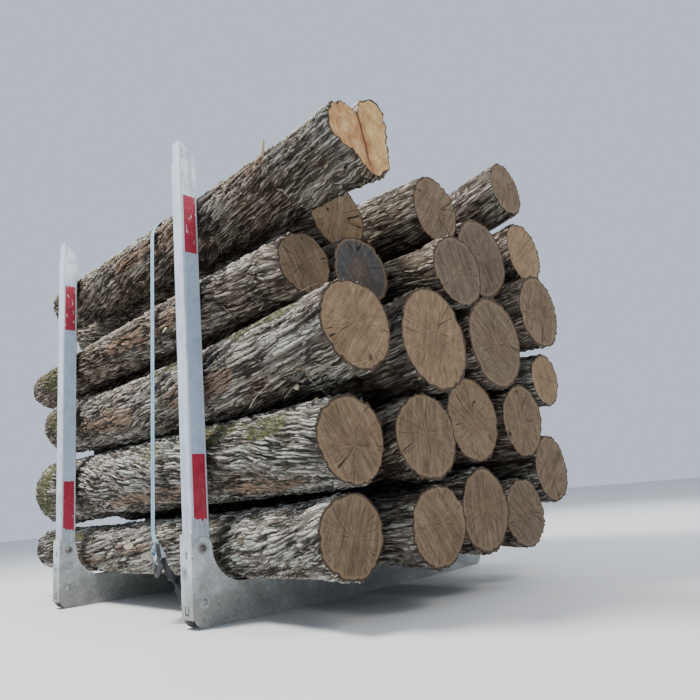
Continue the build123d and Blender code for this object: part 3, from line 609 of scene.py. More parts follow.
# Growth and damage seen on single logs; the rest is left to the bark's own noise
MARKS = {
    "log_01": dict(
        bare_wood=[(0.02, 197, 0.15, 13), (-0.30, 172, 0.08, 8), (0.40, 210, 0.06, 9)],
        lichen=[(1.05, 185, 0.30, 26), (1.45, 200, 0.20, 22), (-0.9, 190, 0.3, 18)],
        moss=[(-1.5, 150, 0.4, 25)],
        inner_bark=[(-0.25, 178, 0.30, 14), (0.52, 190, 0.15, 16), (-1.0, 200, 0.4, 24)]),
    "log_06": dict(
        moss=[(0.75, 140, 0.35, 26), (1.35, 150, 0.22, 18), (-1.75, 175, 0.18, 60), (0.1, 150, 0.2, 18)],
        lichen=[(0.2, 165, 0.9, 35), (1.3, 185, 0.4, 30)],
        inner_bark=[(0.1, 225, 0.9, 18), (1.2, 235, 0.4, 16)]),
    "log_11": dict(
        moss=[(1.3, 128, 0.45, 24), (0.4, 135, 0.35, 16), (-1.5, 160, 0.3, 40)],
        lichen=[(1.2, 165, 0.5, 22), (-0.1, 180, 0.3, 16)],
        inner_bark=[(0.75, 200, 0.5, 24), (-0.6, 200, 0.6, 24)]),
    "log_16": dict(
        moss=[(-1.6, 170, 0.35, 50)],
        lichen=[(0.9, 150, 0.5, 25)],
        inner_bark=[(0.0, 190, 0.9, 24)]),
    "log_22": dict(
        moss=[(1.2, 110, 0.8, 24), (0.0, 120, 0.7, 20), (-1.3, 165, 0.25, 40)],
        inner_bark=[(0.2, 190, 0.6, 20), (1.45, 170, 0.12, 12)]),
}
# How weathered each log's ends are: 0 is fresh, 0.5 dull brown, 1 grey
END_TONES = {
    "log_22": 0.05, "log_16": 0.46, "log_11": 0.36, "log_06": 0.42, "log_01": 0.50, "log_17": 1.0,
    "log_21": 0.42}
# How grey each log's bark is: 0 is brown, 1 pale grey
BARK_TONES = {"log_01": 0.72, "log_06": 0.66, "log_11": 0.55, "log_16": 0.42, "log_22": 0.45, "log_17": 0.3}
SPLIT_LOG = "log_22"
MARK_NAMES = ("moss", "lichen", "inner_bark", "bare_wood")


def log_mesh(shape, free, seed):
    """The log as a grid round its side and rings on its ends, with what the finishes read."""
    random = np.random.default_rng(seed)
    angles, xs = ring_angles(shape, free), along_places(shape, free)
    centres, radii = shape.sample(xs, angles)
    for row, inner in ((0, 1), (-1, -2)):
        torn = row < 0 and shape.name == SPLIT_LOG
        chips = broken_edge(random, angles, shape.mean, TORN_BREAK if torn else RIM_BREAK)
        radii[row] -= chips
        radii[inner] -= chips * SECOND_BREAK
    rows, columns = radii.shape
    ways = np.stack([np.cos(angles), np.sin(angles)], axis=1)
    lengthwise = np.broadcast_to(xs[:, None], radii.shape)
    crosswise = centres[:, None, :] + radii[:, :, None] * ways[None]
    side = np.concatenate([lengthwise[:, :, None], crosswise], axis=2)
    twist = random.uniform(0.25, 0.8) * random.choice([-1, 1], p=[0.25, 0.75])
    coarse = random.uniform(0.88, 1.15)
    turned = angles[None, :] + twist * xs[:, None]
    offset = random.uniform(-40, 40, 3)
    grain = coarse * np.stack([lengthwise, shape.mean * np.cos(turned), shape.mean * np.sin(turned)], axis=2)
    index = np.arange(rows * columns).reshape(rows, columns)
    following = np.roll(index, -1, 1)
    quads = [np.stack([index[:-1], following[:-1], following[1:], index[1:]], axis=2).reshape(-1, 4)]
    # Each layer holds its vertices' places, outward ways, places in the grain and on the end, and rim shares
    layers = [(side.reshape(-1, 3), np.broadcast_to(ways, (rows, columns, 2)).reshape(-1, 2),
               (grain + offset).reshape(-1, 3), np.zeros((rows * columns, 3)), np.full(rows * columns, 2.0))]
    fans = []
    total = rows * columns
    for row, sign in ((0, -1), (rows - 1, 1)):
        pith = random.uniform(-0.12, 0.12, 2) * shape.mean
        face_x = xs[row] - sign * FACE_SINK / 2
        local = radii[row][:, None] * ways
        outer = index[row]
        for share in RIM_SHARES:
            ring = pith * (1 - share) + local * share
            layers.append((
                np.column_stack([np.full(columns, face_x), centres[row] + ring]),
                ways * max(0.0, share - RIM_CUT) / (1 - RIM_CUT) * 0.9,
                np.column_stack([np.full(columns, offset[0] + sign), ring + offset[1:]]),
                np.column_stack([np.full(columns, offset[0]), ring - pith]),
                np.full(columns, share)))
            inner = np.arange(total, total + columns)
            total += columns
            faces = np.stack([outer, inner, np.roll(inner, -1), np.roll(outer, -1)], axis=1)
            quads.append(faces if sign < 0 else faces[:, ::-1])
            outer = inner
        layers.append((np.array([[face_x, *(centres[row] + pith)]]), np.zeros((1, 2)), np.array([offset]),
                       np.array([[offset[0], 0.0, 0.0]]), np.zeros(1)))
        fan = np.stack([outer, np.full(columns, total), np.roll(outer, -1)], axis=1)
        fans.append(fan if sign < 0 else fan[:, ::-1])
        total += 1
    places, outward, grain_place, end_place, rim = (np.concatenate(column) for column in zip(*layers))
    mesh = polygon_mesh(shape.name, places, np.concatenate(quads), np.concatenate(fans))
    mark_log(mesh, shape.name, xs, angles, free, random)
    set_values(mesh, "rim", rim)
    set_values(mesh, "grain_place", grain_place)
    set_values(mesh, "end_place", end_place)
    set_values(mesh, "outward", np.column_stack([np.zeros(total), outward]))
    is_end = mesh.attributes.new("is_end", "BOOLEAN", "FACE")
    is_end.data.foreach_set("value", np.arange(len(mesh.polygons)) >= len(quads[0]))
    return mesh


def mark_log(mesh, name, xs, angles, free, random):
    """What grows on a log's side, how weathered its bark and ends are, and where chips may show."""
    visible = free[np.round(angles / TURN * DIRECTIONS).astype(int) % DIRECTIONS].astype(float)
    inboard = np.interp(np.minimum(xs - xs[0], xs[-1] - xs), CLEAN_END, (0, 1))
    fields = {kind: blobs(xs, angles, MARKS.get(name, {}).get(kind, [])) for kind in MARK_NAMES}
    fields["show"] = inboard[:, None] * visible[None, :]
    total = len(mesh.vertices)
    for kind, field in fields.items():
        set_values(mesh, kind, np.append(field, np.zeros(total - field.size)))
    tones = {
        "tone": BARK_TONES.get(name, random.uniform(0.35, 0.65)),
        "end_tone": END_TONES.get(name, random.uniform(0.30, 0.80)),
        "end_turn": random.uniform(-0.9, 0.9)}
    for kind, value in tones.items():
        set_values(mesh, kind, np.full(total, value))


def polygon_mesh(name, places, *face_sets):
    """A mesh of faces given as rows of vertex numbers, one array for each count of corners."""
    mesh = bpy.data.meshes.new(name)
    loops = np.concatenate([faces.ravel() for faces in face_sets])
    sizes = np.concatenate([np.full(len(faces), faces.shape[1]) for faces in face_sets])
    mesh.vertices.add(len(places))
    mesh.vertices.foreach_set("co", places.astype(np.float32).ravel())
    mesh.loops.add(len(loops))
    mesh.loops.foreach_set("vertex_index", loops.astype(np.int32))
    mesh.polygons.add(len(sizes))
    mesh.polygons.foreach_set("loop_start", (np.cumsum(sizes) - sizes).astype(np.int32))
    mesh.polygons.foreach_set("loop_total", sizes.astype(np.int32))
    mesh.update(calc_edges=True)
    return mesh


def plain_mesh(name, places, faces, finish):
    mesh = bpy.data.meshes.new(name)
    mesh.from_pydata([tuple(place) for place in places], [], faces)
    mesh.materials.append(finish)
    return mesh


def broken_edge(random, angles, radius, deepest):
    """How far the bark is broken back round a sawn end."""
    wave = np.zeros(len(angles))
    for count in range(5, int(radius * 150), 3):
        wave += np.cos(count * angles + random.uniform(0, TURN)) / count ** 0.45
    wave /= wave.std() + 1e-9
    return deepest * np.clip(0.22 + 0.34 * wave, 0.0, 1.0)


def set_values(mesh, name, values):
    """Stores a number or a vector for each vertex."""
    values = np.asarray(values, np.float32)
    kind, field = ("FLOAT", "value") if values.ndim == 1 else ("FLOAT_VECTOR", "vector")
    mesh.attributes.new(name, kind, "POINT").data.foreach_set(field, values.ravel())


def geometry_tree(name, inputs):
    """A geometry node group with a geometry in and out and named values."""
    tree = bpy.data.node_groups.new(name, "GeometryNodeTree")
    tree.interface.new_socket("Geometry", in_out="INPUT", socket_type="NodeSocketGeometry")
    for socket in inputs:
        tree.interface.new_socket(socket, in_out="INPUT", socket_type="NodeSocketFloat")
    tree.interface.new_socket("Geometry", in_out="OUTPUT", socket_type="NodeSocketGeometry")
    helper = Tree(tree)
    return helper, helper.outputs(helper.add("NodeGroupInput"))


def in_use(sockets, name):
    """A node's socket of that name for the kind of data that the node is set to."""
    return next(socket for socket in sockets if socket.enabled and socket.name == name)


def read_named(helper, name, kind="FLOAT"):
    node = helper.add("GeometryNodeInputNamedAttribute", {"Name": name}, data_type=kind)
    return Value(helper, in_use(node.outputs, "Attribute"))


def bark_relief_tree():
    """Geometry nodes that cut the furrows of the bark into a log's smooth side."""
    helper, given = geometry_tree("bark relief", ["Depth"])
    level = bark_pattern(read_named(helper, "grain_place", "FLOAT_VECTOR"))
    kept = read_named(helper, "bare_wood").smooth(0.3, 0.5)
    level = level + kept * (0.30 - level)
    values = {"Geometry": given["Geometry"], "Name": "bark_height"}
    stored = helper.add("GeometryNodeStoreNamedAttribute", values, data_type="FLOAT")
    helper.feed(in_use(stored.inputs, "Value"), level)
    cut = read_named(helper, "outward", "FLOAT_VECTOR").scaled((level - 1.0) * given["Depth"])
    kept_level = Value(helper, stored.outputs[0])
    moved = helper.made("GeometryNodeSetPosition", {"Geometry": kept_level, "Offset": cut})
    whole = helper.made("GeometryNodeRealizeInstances", {"Geometry": moved})
    barked = helper.made("GeometryNodeSetMaterial", {"Geometry": whole, "Material": BARK})
    is_end = read_named(helper, "is_end", "BOOLEAN")
    sawn = helper.made("GeometryNodeSetMaterial", {"Geometry": barked, "Selection": is_end, "Material": SAWN})
    helper.add("NodeGroupOutput", {"Geometry": sawn})
    return helper.tree


def scatter_tree(name, field, material):
    """Geometry nodes that strew small rough lumps over a log's bark, laid along the grain."""
    helper, given = geometry_tree(name, ["Density", "Length", "Width", "Height", "Roughness"])
    patches = (read_named(helper, "grain_place", "FLOAT_VECTOR").noise(9.0, 4.0, 0.65) - 0.5) * 2.0
    share = (read_named(helper, field) + patches) * read_named(helper, "show")
    values = {"Mesh": given["Geometry"], "Density": share.smooth(0.45, 1.0) * given["Density"], "Seed": 7}
    points = helper.outputs(helper.add("GeometryNodeDistributePointsOnFaces", values))
    upright = helper.made("FunctionNodeAlignRotationToVector", {"Vector": points["Normal"]}, axis="Z")
    values = {0: (1.0, -0.5, -0.5), 1: (1.0, 0.5, 0.5)}
    way = helper.made("FunctionNodeRandomValue", values, data_type="FLOAT_VECTOR")
    values = {"Rotation": upright, "Vector": way}
    laid = helper.made("FunctionNodeAlignRotationToVector", values, axis="X", pivot_axis="Z")
    lump = helper.made("GeometryNodeMeshIcoSphere", {"Radius": 1.0, "Subdivisions": 1}, "Mesh")
    size = helper.made("FunctionNodeRandomValue", {2: 0.5, 3: 1.4}, 1, data_type="FLOAT")
    scale = helper.combine(given["Length"], given["Width"], given["Height"]).scaled(size)
    copies = helper.made("GeometryNodeInstanceOnPoints", {
        "Points": points["Points"], "Instance": lump, "Rotation": laid, "Scale": scale})
    whole = helper.made("GeometryNodeRealizeInstances", {"Geometry": copies})
    wild = helper.made("GeometryNodeInputPosition").noise(160.0, 2.0, 0.5, "Color")
    push = (wild - (0.5, 0.5, 0.5)).scaled(given["Roughness"])
    rough = helper.made("GeometryNodeSetPosition", {"Geometry": whole, "Offset": push})
    clad = helper.made("GeometryNodeSetMaterial", {"Geometry": rough, "Material": material})
    helper.add("NodeGroupOutput", {"Geometry": clad})
    return helper.tree


def plain_finish(name, roughness, specular, noise, stops, distance, strength):
    """A finish whose colour and bump follow one noise."""
    helper = Finish(name, roughness=roughness, Specular_IOR_Level=specular)
    cloud = helper.object_place().noise(*noise)
    return helper.done(cloud.ramp(stops), cloud, distance, strength)


MOSS = plain_finish("moss", 0.95, 0.2, (120.0, 4.0, 0.7), [
    (0.30, (0.032, 0.036, 0.013)), (0.5, (0.090, 0.096, 0.034)), (0.72, (0.20, 0.20, 0.085))], 0.004, 0.8)
TWIG = plain_finish("twig", 0.8, 0.3, (90.0, 4.0, 0.6), [
    (0.35, (0.22, 0.16, 0.10)), (0.55, (0.48, 0.41, 0.31)), (0.7, (0.66, 0.61, 0.50))], 0.0008, 0.6)
LEAF = plain_finish("dry_leaf", 0.6, 0.3, (60.0, 4.0, 0.65), [
    (0.35, (0.30, 0.27, 0.12)), (0.52, (0.56, 0.52, 0.30)), (0.7, (0.80, 0.77, 0.60))], 0.001, 0.6)


def chip_finish():
    helper = Finish("bark_chips", roughness=0.9, Specular_IOR_Level=0.2)
    place = helper.object_place()
    grain = helper.group(FIBRE, Place=place, Fineness=90.0, Stretch=4.0)
    broad = place.noise(25.0, 3.0)
    both = grain["Streak"] * 0.5 + broad * 0.5
    color = both.ramp([(0.36, (0.055, 0.038, 0.027)), (0.5, (0.21, 0.16, 0.12)), (0.64, (0.42, 0.36, 0.29))])
    return helper.done(color, grain["Speck"], 0.003, 0.7)


def made_by(tree, source, inputs):
    """The plain mesh that a geometry tree makes of a source mesh."""
    maker = bpy.data.objects.new("maker", source)
    bpy.context.scene.collection.objects.link(maker)
    modifier = maker.modifiers.new("shape", "NODES")
    modifier.node_group = tree
    for socket in tree.interface.items_tree:
        if socket.item_type == "SOCKET" and socket.in_out == "INPUT" and socket.name in inputs:
            modifier[socket.identifier] = inputs[socket.name]
    bpy.context.view_layer.update()
    evaluated = maker.evaluated_get(bpy.context.evaluated_depsgraph_get())
    mesh = bpy.data.meshes.new_from_object(evaluated)
    bpy.data.objects.remove(maker)
    return mesh


def add_piece(name, mesh, slot, *replaced):
    """Puts a finished mesh into the scene as a piece of the one body."""
    piece = bpy.data.objects.new(name, mesh)
    bpy.context.scene.collection.objects.link(piece)
    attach(piece, "root")
    if replaced:
        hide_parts(*replaced)
    return piece


def build_logs():
    relief = bark_relief_tree()
    mossy = scatter_tree("moss tufts", "moss", MOSS)
    chipped = scatter_tree("bark chips", "show", chip_finish())
    shapes = [LogShape(name) for name in LOG_NAMES]
    for seed, shape in enumerate(shapes):
        free = open_sides(shape, [other for other in shapes if other is not shape])
        random = np.random.default_rng(500 + seed)
        depth = BARK_DEPTH * random.uniform(0.88, 1.1)
        mesh = made_by(relief, log_mesh(shape, free, seed), {"Depth": depth})
        mesh.shade_smooth()
        sharpen_rims(mesh)
        if shape.name == SPLIT_LOG:
            dress_split_end(mesh, split_finish(tuple(map(float, shape.centres[-1]))))
        add_piece(shape.name + "_bark", mesh, "bark_and_wood", shape.name)
        if shape.name not in MARKS:
            continue
        tufts = made_by(mossy, mesh, {
            "Density": 1500.0, "Length": 0.008, "Width": 0.005, "Height": 0.0032, "Roughness": 0.007})
        chips = made_by(chipped, mesh, {
            "Density": 230.0, "Length": 0.030, "Width": 0.0055, "Height": 0.0028, "Roughness": 0.006})
        for kind, small in (("moss", tufts), ("chips", chips)):
            if small.polygons:
                add_piece(f"{shape.name}_{kind}", small, "bark_and_wood")
    return shapes


def dress_split_end(mesh, finish):
    """Gives the torn finish to the end that faces +X."""
    mesh.materials.append(finish)
    slot = len(mesh.materials) - 1
    for face in mesh.polygons:
        if mesh.attributes["is_end"].data[face.index].value and face.center.x > 0:
            face.material_index = slot


def sharpen_rims(mesh):
    """A hard edge between the bark and the sawn face."""
    rim = np.empty(len(mesh.vertices), np.float32)
    mesh.attributes["rim"].data.foreach_get("value", rim)
    ends = np.empty(len(mesh.edges) * 2, np.int32)
    mesh.edges.foreach_get("vertices", ends)
    pairs = rim[ends.reshape(-1, 2)]
    first = np.abs(pairs[:, 0] - RIM_SHARES[0]) < 1e-4
    second = np.abs(pairs[:, 1] - RIM_SHARES[0]) < 1e-4
    sharp = mesh.attributes.get("sharp_edge") or mesh.attributes.new("sharp_edge", "BOOLEAN", "EDGE")
    sharp.data.foreach_set("value", first & second)


# Twigs, strings of bark and leaves caught between the logs

CAUGHT = [
    # places in the photograph's frame, thickness at the start and end
    ([(249.6, 408.6), (253.4, 400.0), (261.0, 391.0), (270.7, 382.7), (283.0, 375.5), (296.5, 371.5)],
     0.0021, 0.0013),
    ([(306.0, 367.0), (306.5, 373.0), (309.5, 379.3), (317.0, 386.5), (325.9, 393.1)], 0.0022, 0.0013),
    ([(284.5, 398.3), (289.0, 391.0), (294.8, 386.2)], 0.0024, 0.0012),
    ([(313.8, 362.9), (322.0, 366.5), (332.7, 367.2), (345.0, 364.0), (356.9, 363.8), (368.0, 360.0)],
     0.0022, 0.0012),
    ([(222.0, 306.0), (230.0, 312.0), (236.0, 321.0)], 0.0022, 0.0012),
    ([(300.0, 292.0), (309.0, 286.0), (318.0, 283.5)], 0.0026, 0.0014),
]
# Each leaf's place, size and turn in degrees
LEAVES = [((298.0, 388.0), 0.042, 55), ((166.0, 331.0), 0.060, -20), ((233.0, 404.0), 0.024, 70)]
STUB = (262.0, 153.0)
STUB_LEAN = Vector((0.006, 0.002, 0.032))
LEAF_LIFT = Vector((0.004, -0.010, 0.002))
BARK_LIFT = 0.003
FAR_TWIG = 0.10


def through_pixel(u, v):
    """Direction from the camera through a place of the picture's frame, in pixels."""
    right, up, forward = camera_axes()
    focal = CAMERA_LENS / SENSOR_WIDTH * FRAME_PIXELS
    middle = FRAME_PIXELS / 2
    return (forward + right * ((u - middle) / focal) - up * ((v - middle) / focal)).normalized()


def resting_place(shapes, u, v, farthest=None):
    """Where the look through a pixel meets the logs, and how far off that is."""
    origin, way = Vector(CAMERA_PLACE), through_pixel(u, v)
    found = [hit[3] for hit in (shape.faces.ray_cast(origin, way) for shape in shapes) if hit[3] is not None]
    distance = min(found) if found else farthest
    if farthest is not None:
        distance = min(distance, farthest)
    return origin + way * (distance + BARK_LIFT), distance


def twig_mesh(places, start, end):
    """A thin bent twig through some places, from one thickness to another."""
    curve = bpy.data.curves.new("twig", "CURVE")
    curve.dimensions = "3D"
    curve.bevel_depth = 1.0
    curve.bevel_resolution = 1
    curve.use_fill_caps = True
    curve.resolution_u = 5
    spline = curve.splines.new("NURBS")
    spline.points.add(len(places) - 1)
    for i, (point, place) in enumerate(zip(spline.points, places)):
        point.co = (*place, 1.0)
        point.radius = start + (end - start) * i / (len(places) - 1)
    spline.order_u = 3
    spline.use_endpoint_u = True
    holder = bpy.data.objects.new("twig", curve)
    mesh = bpy.data.meshes.new_from_object(holder)
    bpy.data.objects.remove(holder)
    return mesh


def leaf_mesh(place, size, turn):
    """A curled dry leaf that lies on the bark, its face towards the lit side."""
    mesh = bpy.data.meshes.new("leaf")
    steps = 7
    turned = Matrix.Rotation(math.radians(turn), 3, "Y") @ Matrix.Rotation(math.radians(-25), 3, "X")
    places, faces = [], []
    for i in range(steps + 1):
        share = i / steps
        half = size * 0.36 * math.sin(math.pi * share ** 0.8) ** 0.8 if 0 < i < steps else 0.0006
        for side in (-1, 0, 1):
            curl = 0.10 * size * side * side - 0.35 * size * (share - 0.5) ** 2
            local = Vector(((share - 0.5) * size, -curl, side * half))
            places.append(place + turned @ local)
    for i in range(steps):
        for j in (0, 1):
            k = i * 3 + j
            faces.append((k, k + 1, k + 4, k + 3))
    mesh.from_pydata(places, [], faces)
    return mesh


def joined(name, meshes, finish, slot):
    """One piece of several small meshes."""
    shape = bmesh.new()
    for mesh in meshes:
        shape.from_mesh(mesh)
    whole = bpy.data.meshes.new(name)
    shape.to_mesh(whole)
    shape.free()
    whole.materials.clear()
    whole.materials.append(finish)
    whole.shade_smooth()
    return add_piece(name, whole, slot)


def build_caught(shapes):
    twigs = []
    for line, start, end in CAUGHT:
        nearest = min(resting_place(shapes, u, v, 99.0)[1] for u, v in line)
        places = [resting_place(shapes, u, v, nearest + FAR_TWIG)[0] for u, v in line]
        twigs.append(twig_mesh(places, start, end))
    foot = resting_place(shapes, *STUB)[0]
    twigs.append(twig_mesh([foot + STUB_LEAN * share for share in (-0.7, 0.8, 2.2)], 0.013, 0.008))
    joined("caught_twigs", twigs, TWIG, "bark_and_wood")
    leaves = [leaf_mesh(resting_place(shapes, *pixel, 9.0)[0] + LEAF_LIFT, size, turn)
              for pixel, size, turn in LEAVES]
    leaf = joined("caught_leaves", leaves, LEAF, "bark_and_wood")
    leaf.modifiers.new("thickness", "SOLIDIFY").thickness = 0.0006


# Finishes of the bunks, stakes and lashing

def bunk_finish():
    """Scuffed grey-green paint with rust specks, scratches and road dirt."""
    helper = Finish("bunk_paint", roughness=0.5, Specular_IOR_Level=0.4)
    place = helper.object_place()
    cloud = place.noise(6.0, 5.0, 0.65)
    color = cloud.ramp([(0.3, (0.38, 0.44, 0.45)), (0.5, (0.52, 0.58, 0.59)), (0.7, (0.66, 0.72, 0.73))])
    scratch = (place * (3.0, 3.0, 0.5)).noise(45.0, 4.0, 0.7)
    color = color.mix(scratch.smooth(0.60, 0.68), (0.74, 0.77, 0.76))
    stain = (place * (1.0, 1.0, 0.35)).noise(16.0, 5.0, 0.7)
    color = color.mix(stain.smooth(0.50, 0.66) * 0.35, (0.24, 0.27, 0.27))
    chip = place.noise(85.0, 2.0, 0.5).smooth(0.66, 0.70)
    color = color.mix(chip, (0.16, 0.14, 0.12))
    color = covered(color, helper.group(RUST, Place=place, Scale=22.0, Amount=-0.11))
    color = covered(color, helper.group(DIRT, Place=place, Amount=0.7, Top=0.45))
    return helper.done(color, cloud - chip * 0.6, 0.002, 0.35, roughness=cloud.smooth(0.3, 0.7, 0.62, 0.42))


def stake_finish():
    """Weathered aluminium with streaks down its length; its blue tint is a painted reflection of the sky."""
    helper = Finish("stake_aluminium", roughness=0.45, metallic=0.25)
    place = helper.object_place()
    streak = (place * (26.0, 26.0, 0.8)).noise(2.2, 5.0, 0.6)
    blotch = place.noise(7.0, 5.0, 0.65)
    level = streak * 0.6 + blotch * 0.4
    # The blue in these stops is a painted reflection of the sky on the grey metal.
    color = level.ramp([(0.35, (0.40, 0.47, 0.55)), (0.5, (0.57, 0.65, 0.74)), (0.65, (0.76, 0.82, 0.88))])
    dull = (place * (1.0, 1.0, 0.25)).noise(38.0, 5.0, 0.75).smooth(0.55, 0.66)
    color = color.mix(dull * 0.55, (0.25, 0.28, 0.30))
    scuff = (place * (6.0, 6.0, 0.6)).noise(60.0, 4.0, 0.75)
    color = color.mix(scuff.smooth(0.60, 0.66) * 0.6, (0.86, 0.90, 0.94))
    color = covered(color, helper.group(DIRT, Place=place, Amount=0.35, Top=0.9))
    return helper.done(color, level, 0.001, 0.3, roughness=level.smooth(0.35, 0.65, 0.58, 0.36))


def bolt_finish():
    helper = Finish("bolt_steel", roughness=0.5, metallic=0.55)
    place = helper.object_place()
    cloud = place.noise(60.0, 4.0, 0.6)
    color = cloud.ramp([(0.3, (0.28, 0.30, 0.30)), (0.7, (0.52, 0.55, 0.55))])
    y, z = place.split()[1:]
    side = abs(y) - STAKE_Y
    domed = []
    for height in (UPPER_BOLT_Z, LOWER_BOLT_Z):
        rise = z - height
        reach = side ** 2.0 + rise ** 2.0
        domed.append(reach.root().smooth(HEAD_RADIUS + 0.001, HEAD_RADIUS - 0.001))
    head = domed[0].most(domed[1] * 0.35)
    color = color.mix(head * 0.80, (0.085, 0.060, 0.048))
    rust = helper.group(RUST, Place=place, Scale=30.0, Amount=0.03)
    color = covered(color, rust, 0.75)
    return helper.done(color, cloud, 0.001, 0.5, roughness=rust["Mask"].smooth(0.0, 1.0, 0.42, 0.85))


def lashing_finish():
    """Blue-grey zinc of the ratchet and hooks."""
    helper = Finish("lashing_steel", roughness=0.4, metallic=0.6)
    place = helper.object_place()
    cloud = place.noise(50.0, 4.0, 0.6)
    color = cloud.ramp([(0.3, (0.30, 0.41, 0.48)), (0.7, (0.58, 0.70, 0.77))])
    rust = helper.group(RUST, Place=place, Scale=45.0, Amount=-0.04)
    color = covered(color, rust)
    return helper.done(color, cloud, 0.001, 0.3, roughness=rust["Mask"].smooth(0.0, 1.0, 0.35, 0.8))


def handle_finish():
    helper = Finish("handle_paint", roughness=0.45)
    place = helper.object_place()
    cloud = place.noise(40.0, 5.0, 0.65)
    color = cloud.ramp([(0.35, (0.018, 0.019, 0.022)), (0.75, (0.10, 0.105, 0.115))])
    worn = place.noise(90.0, 3.0, 0.6).smooth(0.64, 0.70)
    color = color.mix(worn, (0.30, 0.30, 0.30))
    return helper.done(color, cloud, 0.001, 0.3, roughness=worn.smooth(0.0, 1.0, 0.42, 0.6))


def dress_nodes():
    """Gives the CAD nodes that stay their finishes."""
    finishes = {
        "bunk": bunk_finish(), "stake": stake_finish(), "bolts": bolt_finish(),
        "lashing": lashing_finish(), "handle": handle_finish()}
    finishes["insert"] = finishes["stake"]
    for name, node in NODES.items():
        if name in LOG_NAMES or name in ("strap", "end_strap"):
            continue
        node.data.materials.clear()
        node.data.materials.append(finishes.get(name.split("_")[-1], finishes["lashing"]))
    build_wheels(finishes["lashing"])


# Marker tape of the near stakes

def tape_finish():
    """Worn marker tape: red at both ends, white between with painted sky-blue shade, with a white border and
    scratches to the metal.
    """
    helper = Finish("marker_tape", roughness=0.5, Specular_IOR_Level=0.45)
    place = helper.object_place()
    across = helper.attribute("across")
    red_share = helper.attribute("red")
    cloud = place.noise(14.0, 5.0, 0.65)
    red = cloud.ramp([(0.3, (0.33, 0.014, 0.040)), (0.7, (0.52, 0.030, 0.072))])
    # The blue of this pale stretch is painted sky-blue shade on white tape.
    pale = cloud.ramp([(0.3, (0.38, 0.49, 0.66)), (0.7, (0.56, 0.67, 0.82))])
    color = pale.mix(red_share, red)
    border = abs(across).smooth(0.86, 0.89)
    color = color.mix(border, (0.68, 0.72, 0.76))
    scratch = (place * (1.0, 1.0, 0.35)).noise(55.0, 5.0, 0.72)
    wear = place.split()[2].smooth(1.9, 2.3, 0.635, 0.60)
    worn = (scratch - wear).smooth(0.0, 0.02)
    color = color.mix(worn, (0.62, 0.66, 0.70))
    color = covered(color, helper.group(DIRT, Place=place, Amount=0.35, Top=0.9))
    return helper.done(color, cloud - worn, 0.0004, 0.4)


def build_tapes():
    """One tape on the end-facing side of each near stake, sealed flat, with a torn lower end."""
    finish = tape_finish()
    columns = np.linspace(-1, 1, 9)
    for name in ("left_near_stake", "right_near_stake"):
        low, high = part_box(name)
        middle = (low.y + high.y) / 2
        random = np.random.default_rng(len(name))
        rows = np.concatenate([
            np.linspace(TAPE_LOW, TAPE_LOW_RED, 26), np.linspace(TAPE_LOW_RED + TAPE_SEAM, TAPE_HIGH_RED, 60),
            np.linspace(TAPE_HIGH_RED + TAPE_SEAM, TAPE_HIGH, 24)])
        places, across, red = [], [], []
        for row, z in enumerate(rows):
            for column in columns:
                tear = random.uniform(-TAPE_TEAR, TAPE_TEAR) - TAPE_SLANT * column if row == 0 else 0.0
                places.append((high.x + TAPE_THICK, middle + column * TAPE_WIDTH / 2, z + tear))
                across.append(column)
                red.append(float(z <= TAPE_LOW_RED or z > TAPE_HIGH_RED))
        count = len(columns)
        faces = [(r * count + c, r * count + c + 1, (r + 1) * count + c + 1, (r + 1) * count + c)
                 for r in range(len(rows) - 1) for c in range(count - 1)]
        mesh = plain_mesh(name + "_tape", places, faces, finish)
        set_values(mesh, "across", across)
        set_values(mesh, "red", red)
        tape = add_piece(name + "_tape", mesh, "stake_aluminium")
        tape.modifiers.new("thickness", "SOLIDIFY").thickness = TAPE_THICK * 0.9


# Webbing of the lashing

def webbing_finish(name, stops, bands, roughness):
    """Woven webbing: warp ribs along it, weft across, woven-in bands, grime, and painted shade between the
    threads.
    """
    helper = Finish(name, roughness=roughness, Specular_IOR_Level=0.2, Sheen_Weight=0.06)
    place = helper.attribute("weave_place", "Vector")
    along, across = place.split()[:2]
    cloud = (place * (0.4, 1.0, 1.0)).noise(22.0, 5.0, 0.65)
    color = cloud.ramp(stops)
    stripe = abs(abs(across) - BAND_AT).smooth(0.0032, 0.0024)
    color = color.mix(stripe, bands)
    twill = ((along + abs(across)) * (TURN / TWILL_PITCH)).sine()
    rib = (across * (TURN / RIB_PITCH)).sine()
    weave = twill + rib * 0.7
    # Darker where the weave is low: painted shade in the grooves between the threads.
    color = color.mix(weave.smooth(0.2, -1.2, 0.0, 0.45), (0.03, 0.04, 0.05))
    grime = place.noise(9.0, 5.0, 0.7).smooth(0.52, 0.75)
    color = color.mix(grime * 0.35, (0.07, 0.065, 0.055))
    return helper.done(color, weave, 0.0006, 0.8)


# Half of the webbing's section, across its width and out of it: raised edges and a flatter middle
RIBBON_HALF = [
    (-1.0, 0.0), (-0.94, 0.8), (-0.80, 1.0), (-0.4, 0.9), (0.0, 0.9), (0.4, 0.9), (0.80, 1.0), (0.94, 0.8)]
RIBBON_PROFILE = RIBBON_HALF + [(-across, -out) for across, out in RIBBON_HALF]


